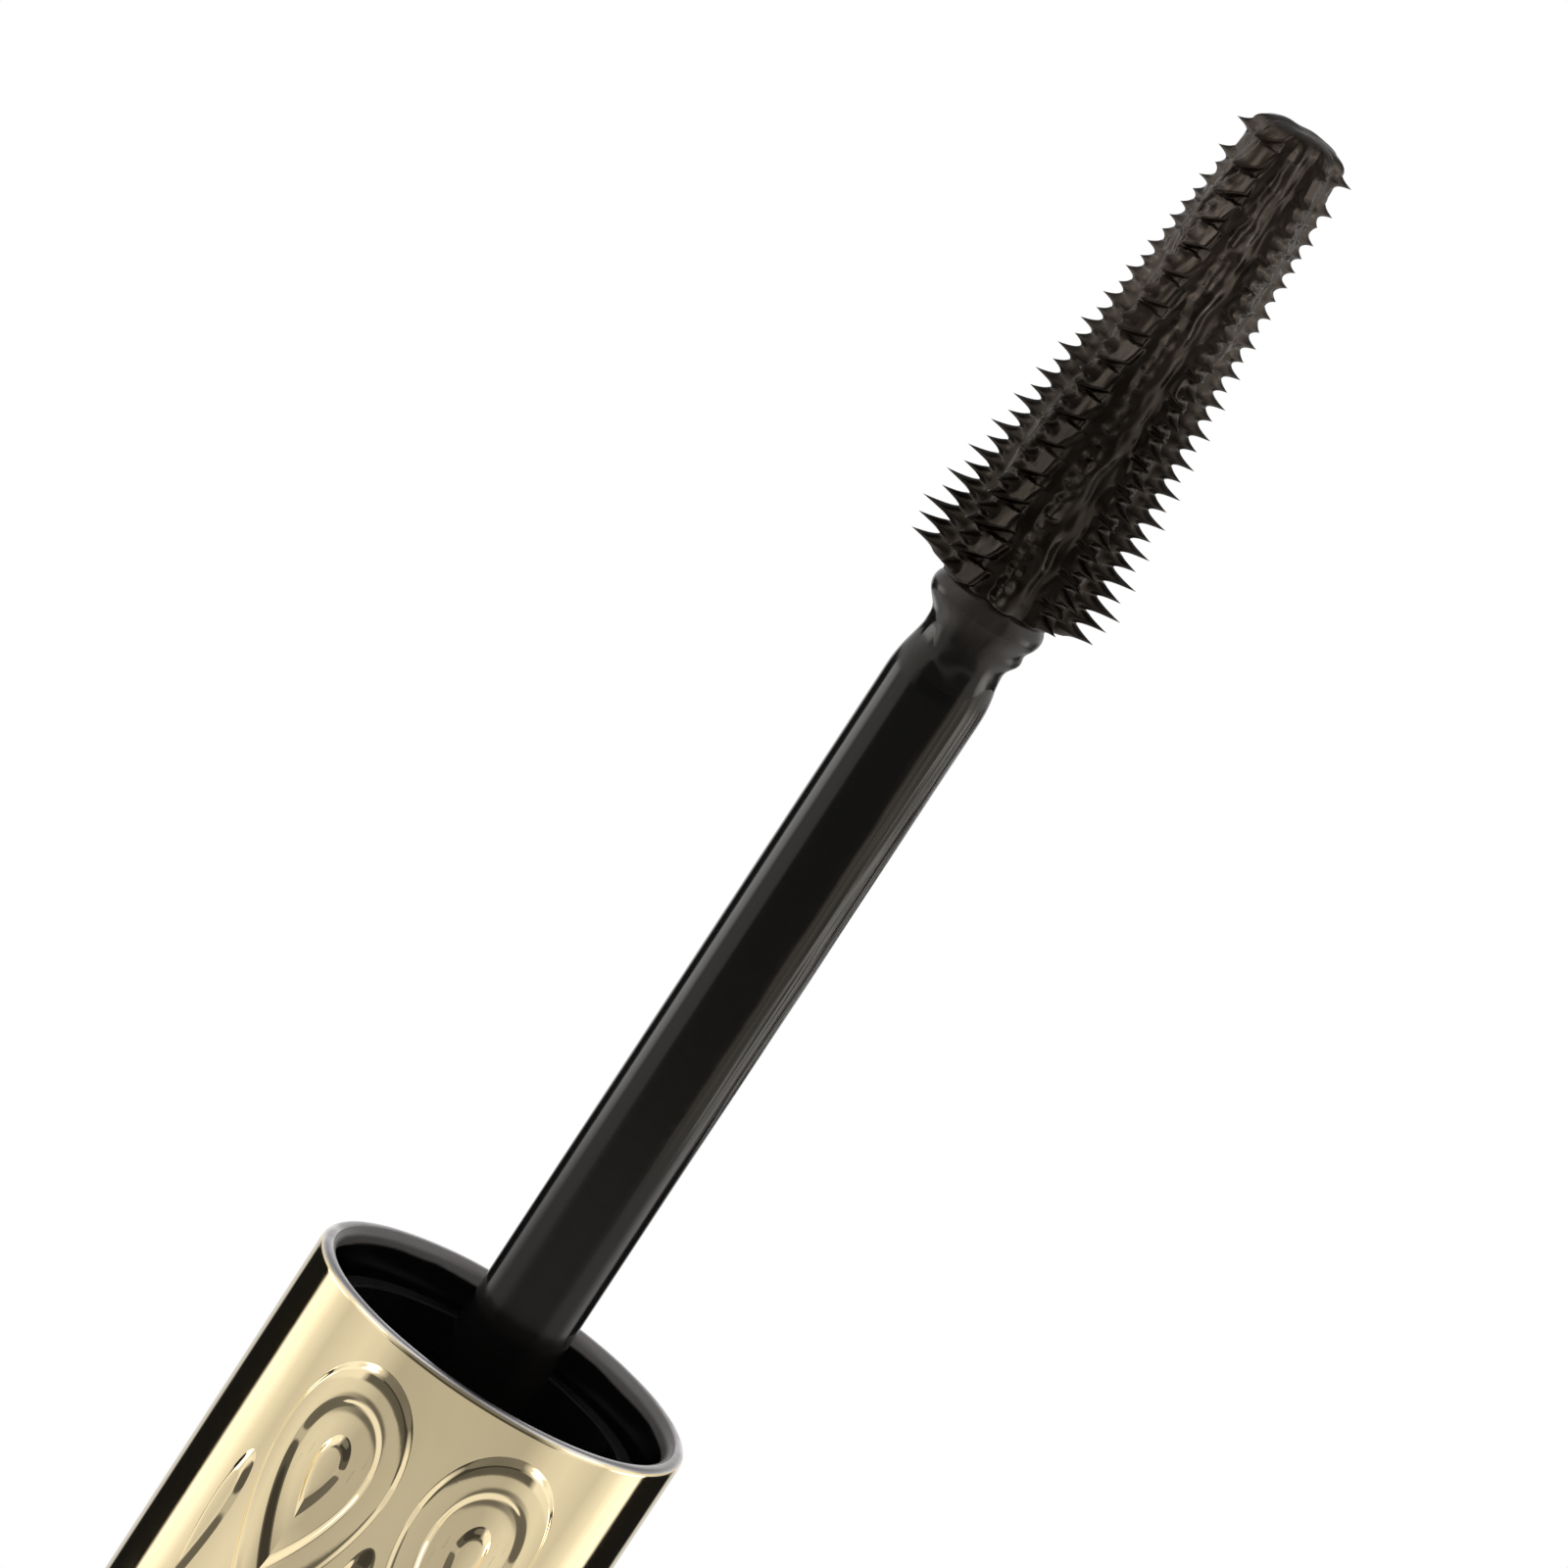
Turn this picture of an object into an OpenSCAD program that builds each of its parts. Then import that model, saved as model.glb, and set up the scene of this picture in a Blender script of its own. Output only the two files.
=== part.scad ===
// Mascara tube standing open: the applicator is drawn straight up out of its bottle.
// Millimetres, +Z up, origin at the centre of the bottle's underside.

/* [Body] */
// Outer diameter of the bottle and of the cap
body_d = 18; // [17.5:0.25:21]
// Radius of the outer edges
edge_r = 0.5; // [0.3:0.1:0.7]

/* [Bottle] */
// Wall of the metallised sleeve
sleeve_wall = 0.8; // [0.7:0.05:1]
// Thickness of the sleeve's shoulder
shoulder_t = 1.2; // [1:0.1:1.6]
// Wall of the inner vial
vial_wall = 1; // [0.8:0.1:1.2]
// Thickness of the vial's floor
vial_floor = 1.2; // [1:0.1:2]
// Thickness of the base plug
base_t = 1.6; // [1.4:0.1:2.4]
// Height of the neck above the shoulder
neck_h = 14; // [12.5:0.5:16]
// Wall of the neck
neck_wall = 1.25; // [1.1:0.05:1.35]
// Room left under the brush tip when the tube is shut
tip_gap = 3.45; // [1.5:0.05:6]

/* [Wiper] */
// Thickness of the wiper's flange on the neck
wiper_flange_t = 0.8; // [0.6:0.1:1]
// Depth of the wiper inside the neck
wiper_len = 9.5; // [8:0.5:11]
// Wall of the wiper
wiper_wall = 0.5; // [0.4:0.05:0.6]

/* [Cap] */
// Length of the cap
cap_len = 52; // [44:1:60]
// Wall of the cap's shell
cap_wall = 0.8; // [0.7:0.05:0.9]
// Thickness of the cap's closed end
cap_top_t = 1.2; // [1:0.1:1.8]
// Depth of the inner cap's end behind the rim
rim_recess = 2; // [1.6:0.1:2.6]
// Radial room between the neck and the inner cap, filled by the screw thread
thread_room = 0.9; // [0.7:0.05:0.95]
// Number of outer ribs on the inner cap
rib_count = 18; // [12:1:24]
// Thickness of the sealing washer
washer_t = 1; // [0.9:0.1:1.4]

/* [Wand] */
// Diameter of the stem
stem_d = 4.6; // [4.4:0.1:5]
// Reach of the stem out of the cap's rim
stem_reach = 36.6; // [30:0.2:42]
// Diameter of the brush's spigot in the stem
spigot_d = 2.4; // [2:0.1:2.6]

/* [Brush] */
// Length of the brush from the stem's end to the tip
brush_len = 25.4; // [22:0.2:30]
// Diameter of the collar under the bristles
collar_d = 5.4; // [5:0.1:5.6]
// Diameter over the long bristles next to the collar
bristle_base_d = 8.9; // [8:0.1:9]
// Diameter over the long bristles next to the brush tip
long_tip_d = 4.8; // [4.6:0.1:6]
// Diameter over the short bristles next to the brush tip
bristle_tip_d = 5.6; // [5:0.1:7]
// How much lower the short bristles stand next to the collar
short_drop = 0.3; // [0.1:0.05:0.5]
// Number of bristle rows round the core
row_count = 8; // [8:1:10]
// Number of bristles in a row, long and short in turn
per_row = 38; // [36:2:44]

/* [Pose] */
// Air between the bottle's mouth and the brush tip as drawn out
open_gap = 14.8; // [5:0.2:30]

/* [Fits] */
// Clearance round pieces pressed into each other
press_gap = 0.1; // [0.06:0.01:0.12]
// Clearance between faces that lie on each other
stack_gap = 0.05; // [0.03:0.01:0.08]
// Clearance between pieces that pass each other
run_gap = 0.3; // [0.2:0.05:0.35]
// Clearance round the loose washer
washer_gap = 0.15; // [0.1:0.01:0.2]

/* [Hidden] */
$fn = 96;

body_r = body_d/2;
stem_r = stem_d/2;
spigot_r = spigot_d/2;
collar_r = collar_d/2;

// Bottle, measured up from its underside
wand_reach = stem_reach + brush_len;
vial_r = body_r - sleeve_wall - press_gap;
vial_in_r = vial_r - vial_wall;
vial_z = base_t + stack_gap;
vial_floor_z = vial_z + vial_floor;
bottle_h = vial_floor_z + tip_gap + wand_reach - run_gap;
vial_top_z = bottle_h - shoulder_t - stack_gap;
bore_r = bristle_base_d/2 + run_gap;
neck_r = bore_r + neck_wall;
neck_top_z = bottle_h + neck_h;
mouth_z = neck_top_z + stack_gap + wiper_flange_t;
slope_h = 1.6;
snap_r = 0.4;

// Wiper
wiper_r = bore_r - press_gap/2;
lip_r = stem_r + press_gap;
lip_h = 0.9;
cone_h = 3.4;

// Applicator, measured up from the cap's rim
rim_z = mouth_z + open_gap + wand_reach;
shell_in_r = body_r - cap_wall;
rib_h = 0.35;
rib_w = 0.8;
inner_r = shell_in_r - press_gap - rib_h;
inner_bore_r = neck_r + thread_room;
washer_d = neck_h + stack_gap + wiper_flange_t;
floor_d = washer_d + washer_t + washer_gap;
floor_t = 1.6;
socket_len = 6;
inner_top = floor_d + floor_t + socket_len;
tang_r = 2;
boss_r = tang_r + 1.3;
web_w = 0.8;
bead_r = 0.3;
bead_d = inner_top - 2;
root_r = boss_r;
root_t = washer_t - 0.1;
washer_in_r = root_r + washer_gap;
washer_out_r = neck_r + thread_room/2;

// Brush, measured out from the cap's rim
waist_r = 0.85*stem_r;
waist_len = 0.8;
waist_slope = 1.4;
spigot_len = 6;
collar_u = stem_reach + 1.35;
collar_round = 0.75;
tip_r = 2.05;
tip_len = 1.3;
tip_round = 0.55*tip_len;
core_base_r = 2.4;
core_tip_r = 1.25;
zone_start = stem_reach + 2.2;
zone_end = wand_reach - tip_len - stack_gap;
web_t = 0.85;
groove_t = 0.5;
row_step = 360/row_count;
foot_width = 0.46;
foot_length = 0.88;
spike_mid = 0.32;
spike_waist = 0.5;

function mix(a, b, share) = a + (b - a)*share;

// Ring section between two radii and two heights
module band(r0, r1, z0, z1) translate([r0, z0]) square([r1 - r0, z1 - z0]);

// Round bar section with its lower outer edge rounded
module foot_band(r, z0, z1, e) {
    band(0, r - e, z0, z1);
    band(0, r, z0 + e, z1);
    translate([r - e, z0 + e]) circle(e);
}

// Round bar section with both outer edges rounded
module soft_band(r, z0, z1, e) {
    foot_band(r, z0, z1 - e, e);
    band(0, r - e, z1 - 2*e, z1);
    translate([r - e, z1 - e]) circle(e);
}

// Metallised sleeve of the bottle with its flat shoulder
module bottle_sleeve() color("#d8c48a") rotate_extrude() difference() {
    soft_band(body_r, 0, bottle_h, edge_r);
    band(0, body_r - sleeve_wall, 0, bottle_h - shoulder_t);
    band(0, neck_r + press_gap, 0, bottle_h);
}

// Plug that closes the sleeve from below, with a shallow round recess
module base_plug() color("#1c1b1a") rotate_extrude() difference() {
    foot_band(vial_r, 0, base_t, 0.3);
    band(0, vial_r - 1.8, 0, 0.25);
}

// Inner vial that holds the product, with the neck
module vial() color("#151414") rotate_extrude() difference() {
    union() {
        foot_band(vial_r, vial_z, vial_top_z, 1);
        band(0, neck_r, vial_top_z, neck_top_z);
        translate([neck_r - 0.1, bottle_h + snap_r + stack_gap]) circle(snap_r);
    }
    foot_band(vial_in_r, vial_floor_z, vial_top_z - vial_wall - slope_h, 1);
    polygon([[0, vial_floor_z + 2], [vial_in_r, vial_floor_z + 2],
             [vial_in_r, vial_top_z - vial_wall - slope_h],
             [bore_r, vial_top_z - vial_wall], [bore_r, neck_top_z], [0, neck_top_z]]);
}

// Soft wiper in the neck: flange, tube and a cone that ends in the lip
module wiper() color("#2a2827") rotate_extrude() polygon([
    [wiper_r - wiper_wall + 0.3, mouth_z],
    [wiper_r - wiper_wall, mouth_z - 0.4],
    [wiper_r - wiper_wall, neck_top_z - wiper_len + lip_h + cone_h],
    [lip_r, neck_top_z - wiper_len + lip_h],
    [lip_r, neck_top_z - wiper_len],
    [lip_r + wiper_wall, neck_top_z - wiper_len],
    [lip_r + wiper_wall, neck_top_z - wiper_len + lip_h],
    [wiper_r, neck_top_z - wiper_len + lip_h + cone_h],
    [wiper_r, neck_top_z + stack_gap],
    [neck_r - 0.1, neck_top_z + stack_gap],
    [neck_r - 0.1, mouth_z]]);

// Metallised shell of the cap: round lip, closed end and a bead for the inner cap
module cap_shell() color("#d8c48a") translate([0, 0, rim_z]) rotate_extrude() {
    difference() {
        soft_band(body_r, 0, cap_len, cap_wall/2);
        band(0, shell_in_r, 0, cap_len - cap_top_t);
        band(0, body_r - cap_wall/2, 0, cap_wall/2);
        translate([0, cap_len - edge_r]) difference() {
            band(body_r - edge_r, body_r, 0, edge_r);
            translate([body_r - edge_r, 0]) circle(edge_r);
        }
    }
    translate([body_r - cap_wall/2, cap_wall/2]) circle(cap_wall/2);
    translate([shell_in_r + 0.1, bead_d]) circle(bead_r);
}

// Inner cap: threaded bore, floor, socket for the stem, webs and outer ribs
module inner_cap() color("#1a1918") translate([0, 0, rim_z]) difference() {
    union() {
        rotate_extrude() difference() {
            band(0, inner_r, rim_recess, inner_top);
            band(0, inner_bore_r, rim_recess, floor_d);
            band(boss_r, inner_bore_r, floor_d + floor_t, inner_top);
            band(0, tang_r + press_gap/2, floor_d, inner_top);
            polygon([[inner_bore_r, rim_recess], [inner_bore_r + 0.4, rim_recess],
                     [inner_bore_r, rim_recess + 0.4]]);
        }
        for (k = [0:3]) rotate(90*k + 45)
            translate([boss_r - 0.2, -web_w/2, floor_d + floor_t - 0.2])
                cube([inner_bore_r - boss_r + 0.4, web_w, socket_len]);
        for (k = [0:rib_count - 1]) rotate(360/rib_count*k)
            translate([inner_r - 0.2, -rib_w/2, rim_recess + 1.5])
                cube([rib_h + 0.2, rib_w, inner_top - rim_recess - 2]);
    }
    rotate_extrude() translate([shell_in_r + 0.1, bead_d]) circle(bead_r + press_gap);
    rotate_extrude() translate([tang_r - 0.05, bead_d]) circle(bead_r + press_gap/2);
}

// Loose sealing washer under the inner cap's floor
module sealing_washer() color("#efece4") translate([0, 0, rim_z]) rotate_extrude()
    band(washer_in_r, washer_out_r, washer_d, washer_d + washer_t);

// Stem: tang in the cap's socket, root flange, rod, waist and the brush's socket
module stem() color("#121111") translate([0, 0, rim_z]) rotate_extrude() difference() {
    union() {
        polygon([[0, -stem_reach], [waist_r, -stem_reach],
                 [waist_r, waist_len - stem_reach],
                 [stem_r, waist_len + waist_slope - stem_reach],
                 [stem_r, floor_d - stack_gap], [0, floor_d - stack_gap]]);
        band(0, root_r, floor_d - stack_gap - root_t, floor_d - stack_gap);
        band(0, tang_r, floor_d - stack_gap, inner_top);
        translate([tang_r - 0.05, bead_d]) circle(bead_r);
    }
    band(0, spigot_r + press_gap/2, -stem_reach, spigot_len + 0.2 - stem_reach);
}

// Moulded brush core: spigot, collar, tapering core and blunt tip
module brush_core() color("#181615") translate([0, 0, rim_z]) rotate_extrude() union() {
    polygon([[0, spigot_len - stem_reach], [0, 0.5 - wand_reach],
             [core_tip_r, 0.5 - wand_reach], [core_tip_r, -zone_end],
             [core_base_r, -zone_start], [core_base_r, -collar_u],
             [collar_r - 0.2, -collar_u], [collar_r - 0.1, 0.3 - collar_u],
             [waist_r, -stem_reach - stack_gap], [spigot_r, -stem_reach - stack_gap],
             [spigot_r, spigot_len - stem_reach]]);
    translate([collar_r - collar_round, -collar_u]) circle(collar_round);
    foot_band(tip_r, -wand_reach, tip_len - wand_reach, tip_round);
}

// Radii along the bristled zone, share 0 at the collar and 1 at the tip
function core_at(share) = mix(core_base_r, core_tip_r, share) + stack_gap;
function web_at(share) = core_at(share) + web_t;
function spike_at(share, m) = m%2 == 0
    ? mix(bristle_base_d, long_tip_d, share)/2
    : mix(bristle_base_d/2 - short_drop, bristle_tip_d/2, share);

// Grid on the web: two lines along the brush bound each row and a third lies in the groove
// beside it, and two lines across bound each bristle
col_count = 3*row_count;
line_count = 2*per_row + 2;
spike_base = col_count*line_count + 2*col_count;
function row_angle(c) = row_step*floor(c/3);
function col_angle(c) = row_angle(c) + row_step*(c%3 == 2 ? 0.5 : foot_width*(c%3 - 0.5));
function spike_share(m) = (m + 0.5)/per_row;
function line_share(j) = j == 0 ? 0 : j == line_count - 1 ? 1 :
    spike_share(floor((j - 1)/2)) + foot_length*((j + 1)%2 - 0.5)/per_row;
function place(angle, share, r) =
    [r*cos(angle), r*sin(angle), rim_z - mix(zone_start, zone_end, share)];
function web_point(c, share) =
    place(col_angle(c), share, web_at(share) - (c%3 == 2 ? groove_t : 0));
function core_point(c, end) =
    place(col_angle(c), end, core_at(end)/cos(row_step*foot_width/2));
function grid(c, j) = (c%col_count)*line_count + j;
function ring(c, end) = col_count*(line_count + end) + c%col_count;
function spike(c, m, q) = spike_base + 5*(floor(c/3)*per_row + m) + q;

// Corners of a bristle's foot in order: which column and which line
foot_col = [0, 1, 1, 0];
foot_line = [1, 1, 2, 2];
function waist_point(c, m, q) = let (s = spike_share(m))
    place(mix(row_angle(c), col_angle(c + foot_col[q]), spike_waist),
          mix(s, line_share(2*m + foot_line[q]), spike_waist),
          mix(web_at(s), spike_at(s, m), spike_mid));
function tip_point(c, m) = place(row_angle(c), spike_share(m), spike_at(spike_share(m), m));

// Bristles: straight rows of four-sided thorns, long and short in turn, on a fluted web
module bristles() color("#181615") polyhedron(
    points = concat(
        [for (c = [0:col_count - 1], j = [0:line_count - 1]) web_point(c, line_share(j))],
        [for (end = [0:1], c = [0:col_count - 1]) core_point(c, end)],
        [for (c = [0:3:col_count - 1], m = [0:per_row - 1], q = [0:4])
            q < 4 ? waist_point(c, m, q) : tip_point(c, m)]),
    faces = concat(
        [for (c = [0:col_count - 1], j = [0:line_count - 2], h = [0:1])
            if (c%3 > 0 || j%2 == 0) h == 0
                ? [grid(c, j), grid(c + 1, j), grid(c + 1, j + 1)]
                : [grid(c, j), grid(c + 1, j + 1), grid(c, j + 1)]],
        [for (c = [0:3:col_count - 1], m = [0:per_row - 1], q = [0:3], h = [0:2])
            let (n = (q + 1)%4,
                 foot = grid(c + foot_col[q], 2*m + foot_line[q]),
                 next = grid(c + foot_col[n], 2*m + foot_line[n]))
            h == 0 ? [foot, next, spike(c, m, n)]
                : h == 1 ? [foot, spike(c, m, n), spike(c, m, q)]
                : [spike(c, m, q), spike(c, m, n), spike(c, m, 4)]],
        [for (c = [0:col_count - 1], h = [0:1]) h == 0
            ? [ring(c, 0), ring(c, 1), ring(c + 1, 1)]
            : [ring(c, 0), ring(c + 1, 1), ring(c + 1, 0)]],
        [for (c = [0:col_count - 1], h = [0:1]) h == 0
            ? [grid(c, 0), ring(c, 0), ring(c + 1, 0)]
            : [grid(c, 0), ring(c + 1, 0), grid(c + 1, 0)]],
        [for (c = [0:col_count - 1], h = [0:1]) let (e = line_count - 1) h == 0
            ? [grid(c, e), grid(c + 1, e), ring(c + 1, 1)]
            : [grid(c, e), ring(c + 1, 1), ring(c, 1)]]),
    convexity = 10);

bottle_sleeve();
base_plug();
vial();
wiper();
cap_shell();
inner_cap();
sealing_washer();
stem();
brush_core();
bristles();
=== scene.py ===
import logging
from dataclasses import dataclass
from enum import Enum
from typing import Optional, Sequence

import bmesh
import bpy
import numpy as np
from mathutils import Matrix, Vector


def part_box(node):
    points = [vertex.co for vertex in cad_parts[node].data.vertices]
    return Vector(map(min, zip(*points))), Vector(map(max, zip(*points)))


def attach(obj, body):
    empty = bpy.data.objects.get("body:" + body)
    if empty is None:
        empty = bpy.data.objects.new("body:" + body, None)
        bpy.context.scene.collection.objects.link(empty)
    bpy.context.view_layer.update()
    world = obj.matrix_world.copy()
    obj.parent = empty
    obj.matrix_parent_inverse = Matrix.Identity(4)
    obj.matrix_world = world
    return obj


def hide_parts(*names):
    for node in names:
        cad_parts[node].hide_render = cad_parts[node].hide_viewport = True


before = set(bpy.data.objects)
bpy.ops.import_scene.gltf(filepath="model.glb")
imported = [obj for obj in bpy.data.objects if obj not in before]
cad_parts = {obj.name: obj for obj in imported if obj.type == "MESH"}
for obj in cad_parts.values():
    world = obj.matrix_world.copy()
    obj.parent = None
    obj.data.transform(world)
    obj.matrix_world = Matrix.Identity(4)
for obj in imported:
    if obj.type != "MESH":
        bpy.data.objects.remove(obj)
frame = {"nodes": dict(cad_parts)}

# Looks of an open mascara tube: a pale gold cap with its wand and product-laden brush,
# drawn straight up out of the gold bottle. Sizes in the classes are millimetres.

MM = 0.001
TAU = 2.0*np.pi
LOG = logging.getLogger("mascara_tube")
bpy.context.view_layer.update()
Array = np.ndarray
Number = float | np.ndarray
Colour = tuple[float, float, float]
Panel = tuple[float, float, float]
Curve = tuple[tuple[float, float], ...]
Corners = Sequence[tuple[float, float, float]]
Material = bpy.types.Material
Piece = bpy.types.Object
Socket = bpy.types.NodeSocket


class Body(Enum):
    """Moving bodies that the pieces ride on."""

    BOTTLE = "bottle"
    WASHER = "washer"
    APPLICATOR = "applicator"


class Slot(Enum):
    """Material slots of the record."""

    GOLD = "pale_gold"
    BLACK = "black_plastic"
    SOFT = "soft_black"
    WASHER = "washer_white"
    BRUSH = "brush_black"


def mix(low: Number, high: Number, share: Array) -> Array:
    """Blend from low to high by share."""
    return low + (high - low)*share


def smooth(share: Array) -> Array:
    """Ease a share between 0 and 1 with the cubic 3s^2 - 2s^3."""
    s = np.clip(share, 0.0, 1.0)
    return s*s*(3.0 - 2.0*s)


def bell(distance: Array) -> Array:
    """Bell curve exp(-d^2) of a distance in widths."""
    return np.exp(-distance**2)


def spokes(columns: int) -> Array:
    """Even angles round the axis, as one row."""
    return (TAU*np.arange(columns)/columns)[None, :]


def wrapped(angle: Array) -> Array:
    """Bring angles to within half a turn of zero."""
    return np.mod(angle + np.pi, TAU) - np.pi


def polar(r: Array, angle: Array, z: Array) -> Array:
    """Points (r cos a, r sin a, z) on the grid that the three span."""
    return np.stack(np.broadcast_arrays(r*np.cos(angle), r*np.sin(angle), z), axis=-1)


def follow(curve: Curve, at: Array) -> Array:
    """Read a curve of straight stretches between its points."""
    return np.interp(at, *np.transpose(curve))


def top_of(node: str) -> float:
    """Height of a CAD node's top in millimetres."""
    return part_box(node)[1].z/MM


def foot_of(node: str) -> float:
    """Height of a CAD node's underside in millimetres."""
    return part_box(node)[0].z/MM


@dataclass(frozen=True)
class Ripple:
    """Smooth random field that closes round the axis, with a spread of about one.

    It is a sum of plane waves sin(k*angle + f*along + phase), with whole numbers k so that it
    joins up after a turn. There are as many waves as terms; lobes is the largest k, and rate the
    most waves per millimetre.
    """

    seed: int
    terms: int
    lobes: int
    rate: float

    def at(self, angle: Array, along: Array) -> Array:
        """Work out the field.

        Args:
            angle: angles round the axis.
            along: millimetres along the axis.

        Returns:
            The field on the grid that the two span.
        """
        rng = np.random.default_rng(self.seed)
        k = rng.integers(-self.lobes, self.lobes + 1, self.terms)[:, None, None]
        f = rng.uniform(-self.rate, self.rate, self.terms)[:, None, None]*TAU
        phase = rng.uniform(0.0, TAU, self.terms)[:, None, None]
        return np.sin(k*angle + f*along + phase).sum(0)/np.sqrt(0.5*self.terms)


def rounded_profile(corners: Corners, steps: int, hold: float = 0.02) -> Array:
    """Round the inner corners of an open outline.

    Each corner becomes an arc that touches both sides at radius/tan(half the corner's angle)
    from it. The arc is worked out by turning evenly from its first spoke to its last, and a
    holding point on each side keeps the flats flat in smooth shading.

    Args:
        corners: rows of radius, height and corner radius.
        steps: arc steps per corner.
        hold: distance of the holding points.

    Returns:
        Rows of radius and height.
    """
    rows = np.asarray(corners, float)
    p, f = rows[:, :2], rows[1:-1, 2:3]
    a, b = p[:-2] - p[1:-1], p[2:] - p[1:-1]
    a = a/np.linalg.norm(a, axis=1, keepdims=True)
    b = b/np.linalg.norm(b, axis=1, keepdims=True)
    half = 0.5*np.arccos(np.clip((a*b).sum(1, keepdims=True), -1.0, 1.0))
    bisector = (a + b)/np.linalg.norm(a + b, axis=1, keepdims=True)
    centre = p[1:-1] + bisector*f/np.sin(half)
    start, end = p[1:-1] + a*f/np.tan(half), p[1:-1] + b*f/np.tan(half)
    turn = (np.pi - 2.0*half)[:, None]
    t = np.linspace(0.0, 1.0, steps + 1)[None, :, None]
    swept = np.sin((1.0 - t)*turn)*(start - centre)[:, None] + np.sin(t*turn)*(end - centre)[:, None]
    arcs = centre[:, None] + swept/np.sin(turn)
    held = np.concatenate([(start + a*hold)[:, None], arcs, (end + b*hold)[:, None]], axis=1)
    return np.concatenate([p[:1], held.reshape(-1, 2), p[-1:]])


def evened(profile: Array, step: float) -> Array:
    """Place points at even distances along an outline, by interpolating over its arc length.

    Args:
        profile: rows of radius and height.
        step: spacing.

    Returns:
        Rows of radius and height.
    """
    along = np.concatenate([[0.0], np.cumsum(np.linalg.norm(np.diff(profile, axis=0), axis=1))])
    spots = np.linspace(0.0, along[-1], int(np.ceil(along[-1]/step)) + 1)
    return np.stack([np.interp(spots, along, side) for side in profile.T], axis=-1)


def turned(profile: Array, columns: int, swell: Number = 0.0) -> Array:
    """Turn a profile about the axis: point = (r cos a, r sin a, z).

    Args:
        profile: rows of radius and height.
        columns: points round the axis.
        swell: extra radius on the grid.

    Returns:
        Grid of points, profile rows by columns.
    """
    return polar(profile[:, :1] + swell, spokes(columns), profile[:, 1:])


def plugged(grid: Array, first: bool = True) -> Array:
    """Close a turned grid with discs: its last row again, drawn in to the axis.

    Args:
        grid: grid of points, rows along the axis.
        first: whether to close the first row too.

    Returns:
        The grid with the extra rows.
    """
    axis = np.array([0.0, 0.0, 1.0])
    return np.concatenate([grid[:1]*axis]*first + [grid, grid[-1:]*axis])


def grid_uv(points: Array, wrap: bool) -> Array:
    """Surface coordinates of a grid: share round the axis, millimetres along the profile.

    Args:
        points: grid of points.
        wrap: whether the last column joins the first.

    Returns:
        Grid of coordinates with one more column where it wraps.
    """
    step = np.linalg.norm(np.diff(points[:, :1], axis=0), axis=-1)
    along = np.concatenate([np.zeros((1, 1)), np.cumsum(step, axis=0)])
    share = np.linspace(0.0, 1.0, points.shape[1] + wrap)[None, :]
    return np.stack(np.broadcast_arrays(share, along), axis=-1)


def grid_quads(rows: int, columns: int, wrap: bool) -> Array:
    """Corner numbers of the quads of a grid, first index along the profile.

    Args:
        rows: grid rows.
        columns: grid columns.
        wrap: whether the last column joins the first.

    Returns:
        Rows of four corner numbers.
    """
    index = np.arange(rows*columns).reshape(rows, columns)
    if wrap:
        index = np.concatenate([index, index[:, :1]], axis=1)
    corners = [index[:-1, :-1], index[:-1, 1:], index[1:, 1:], index[1:, :-1]]
    return np.stack(corners, axis=-1).reshape(-1, 4)


def surface(name: str, points: Array, wrap: bool = True, bands: Optional[Array] = None) -> Piece:
    """Make a smooth mesh object from one grid of points, or from a stack of alike grids.

    Points that meet are merged and faces without area dissolved, which closes poles and seams.

    Args:
        name: object name.
        points: grid of points, or a stack of grids.
        wrap: whether each grid's last column joins its first.
        bands: material number of each band between profile rows, or None.

    Returns:
        The new object, at the origin.
    """
    stack = points if points.ndim == 4 else points[None]
    count, rows, columns = stack.shape[:3]
    one = grid_quads(rows, columns, wrap)
    quads = (one[None] + (np.arange(count)*rows*columns)[:, None, None]).reshape(-1, 4)
    uv = grid_uv(stack[0], wrap)
    corner_uv = uv.reshape(-1, 2)[grid_quads(rows, uv.shape[1], False)].reshape(1, -1)
    mesh = bpy.data.meshes.new(name)
    mesh.vertices.add(count*rows*columns)
    mesh.vertices.foreach_set("co", (stack*MM).astype(np.float32).ravel())
    mesh.loops.add(quads.size)
    mesh.loops.foreach_set("vertex_index", quads.astype(np.int32).ravel())
    mesh.polygons.add(len(quads))
    mesh.polygons.foreach_set("loop_start", np.arange(0, quads.size, 4, dtype=np.int32))
    if bands is not None:
        per_quad = np.repeat(np.asarray(bands, np.int32), len(one)//(rows - 1))
        mesh.polygons.foreach_set("material_index", np.tile(per_quad, count))
    layer = mesh.uv_layers.new(name="surface")
    layer.data.foreach_set("uv", np.tile(corner_uv, (count, 1)).astype(np.float32).ravel())
    mesh.update(calc_edges=True)
    work = bmesh.new()
    work.from_mesh(mesh)
    bmesh.ops.remove_doubles(work, verts=work.verts, dist=2e-7)
    bmesh.ops.dissolve_degenerate(work, edges=work.edges, dist=1e-8)
    work.to_mesh(mesh)
    work.free()
    mesh.shade_smooth()
    piece = bpy.data.objects.new(name, mesh)
    bpy.context.scene.collection.objects.link(piece)
    return piece


def lathe(name: str, corners: Corners, steps: int, columns: int) -> Piece:
    """Turn an outline with rounded corners into a piece.

    Args:
        name: object name.
        corners: rows of radius, height and corner radius.
        steps: arc steps per corner.
        columns: points round the axis.

    Returns:
        The new object.
    """
    return surface(name, turned(rounded_profile(corners, steps), columns))


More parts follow.
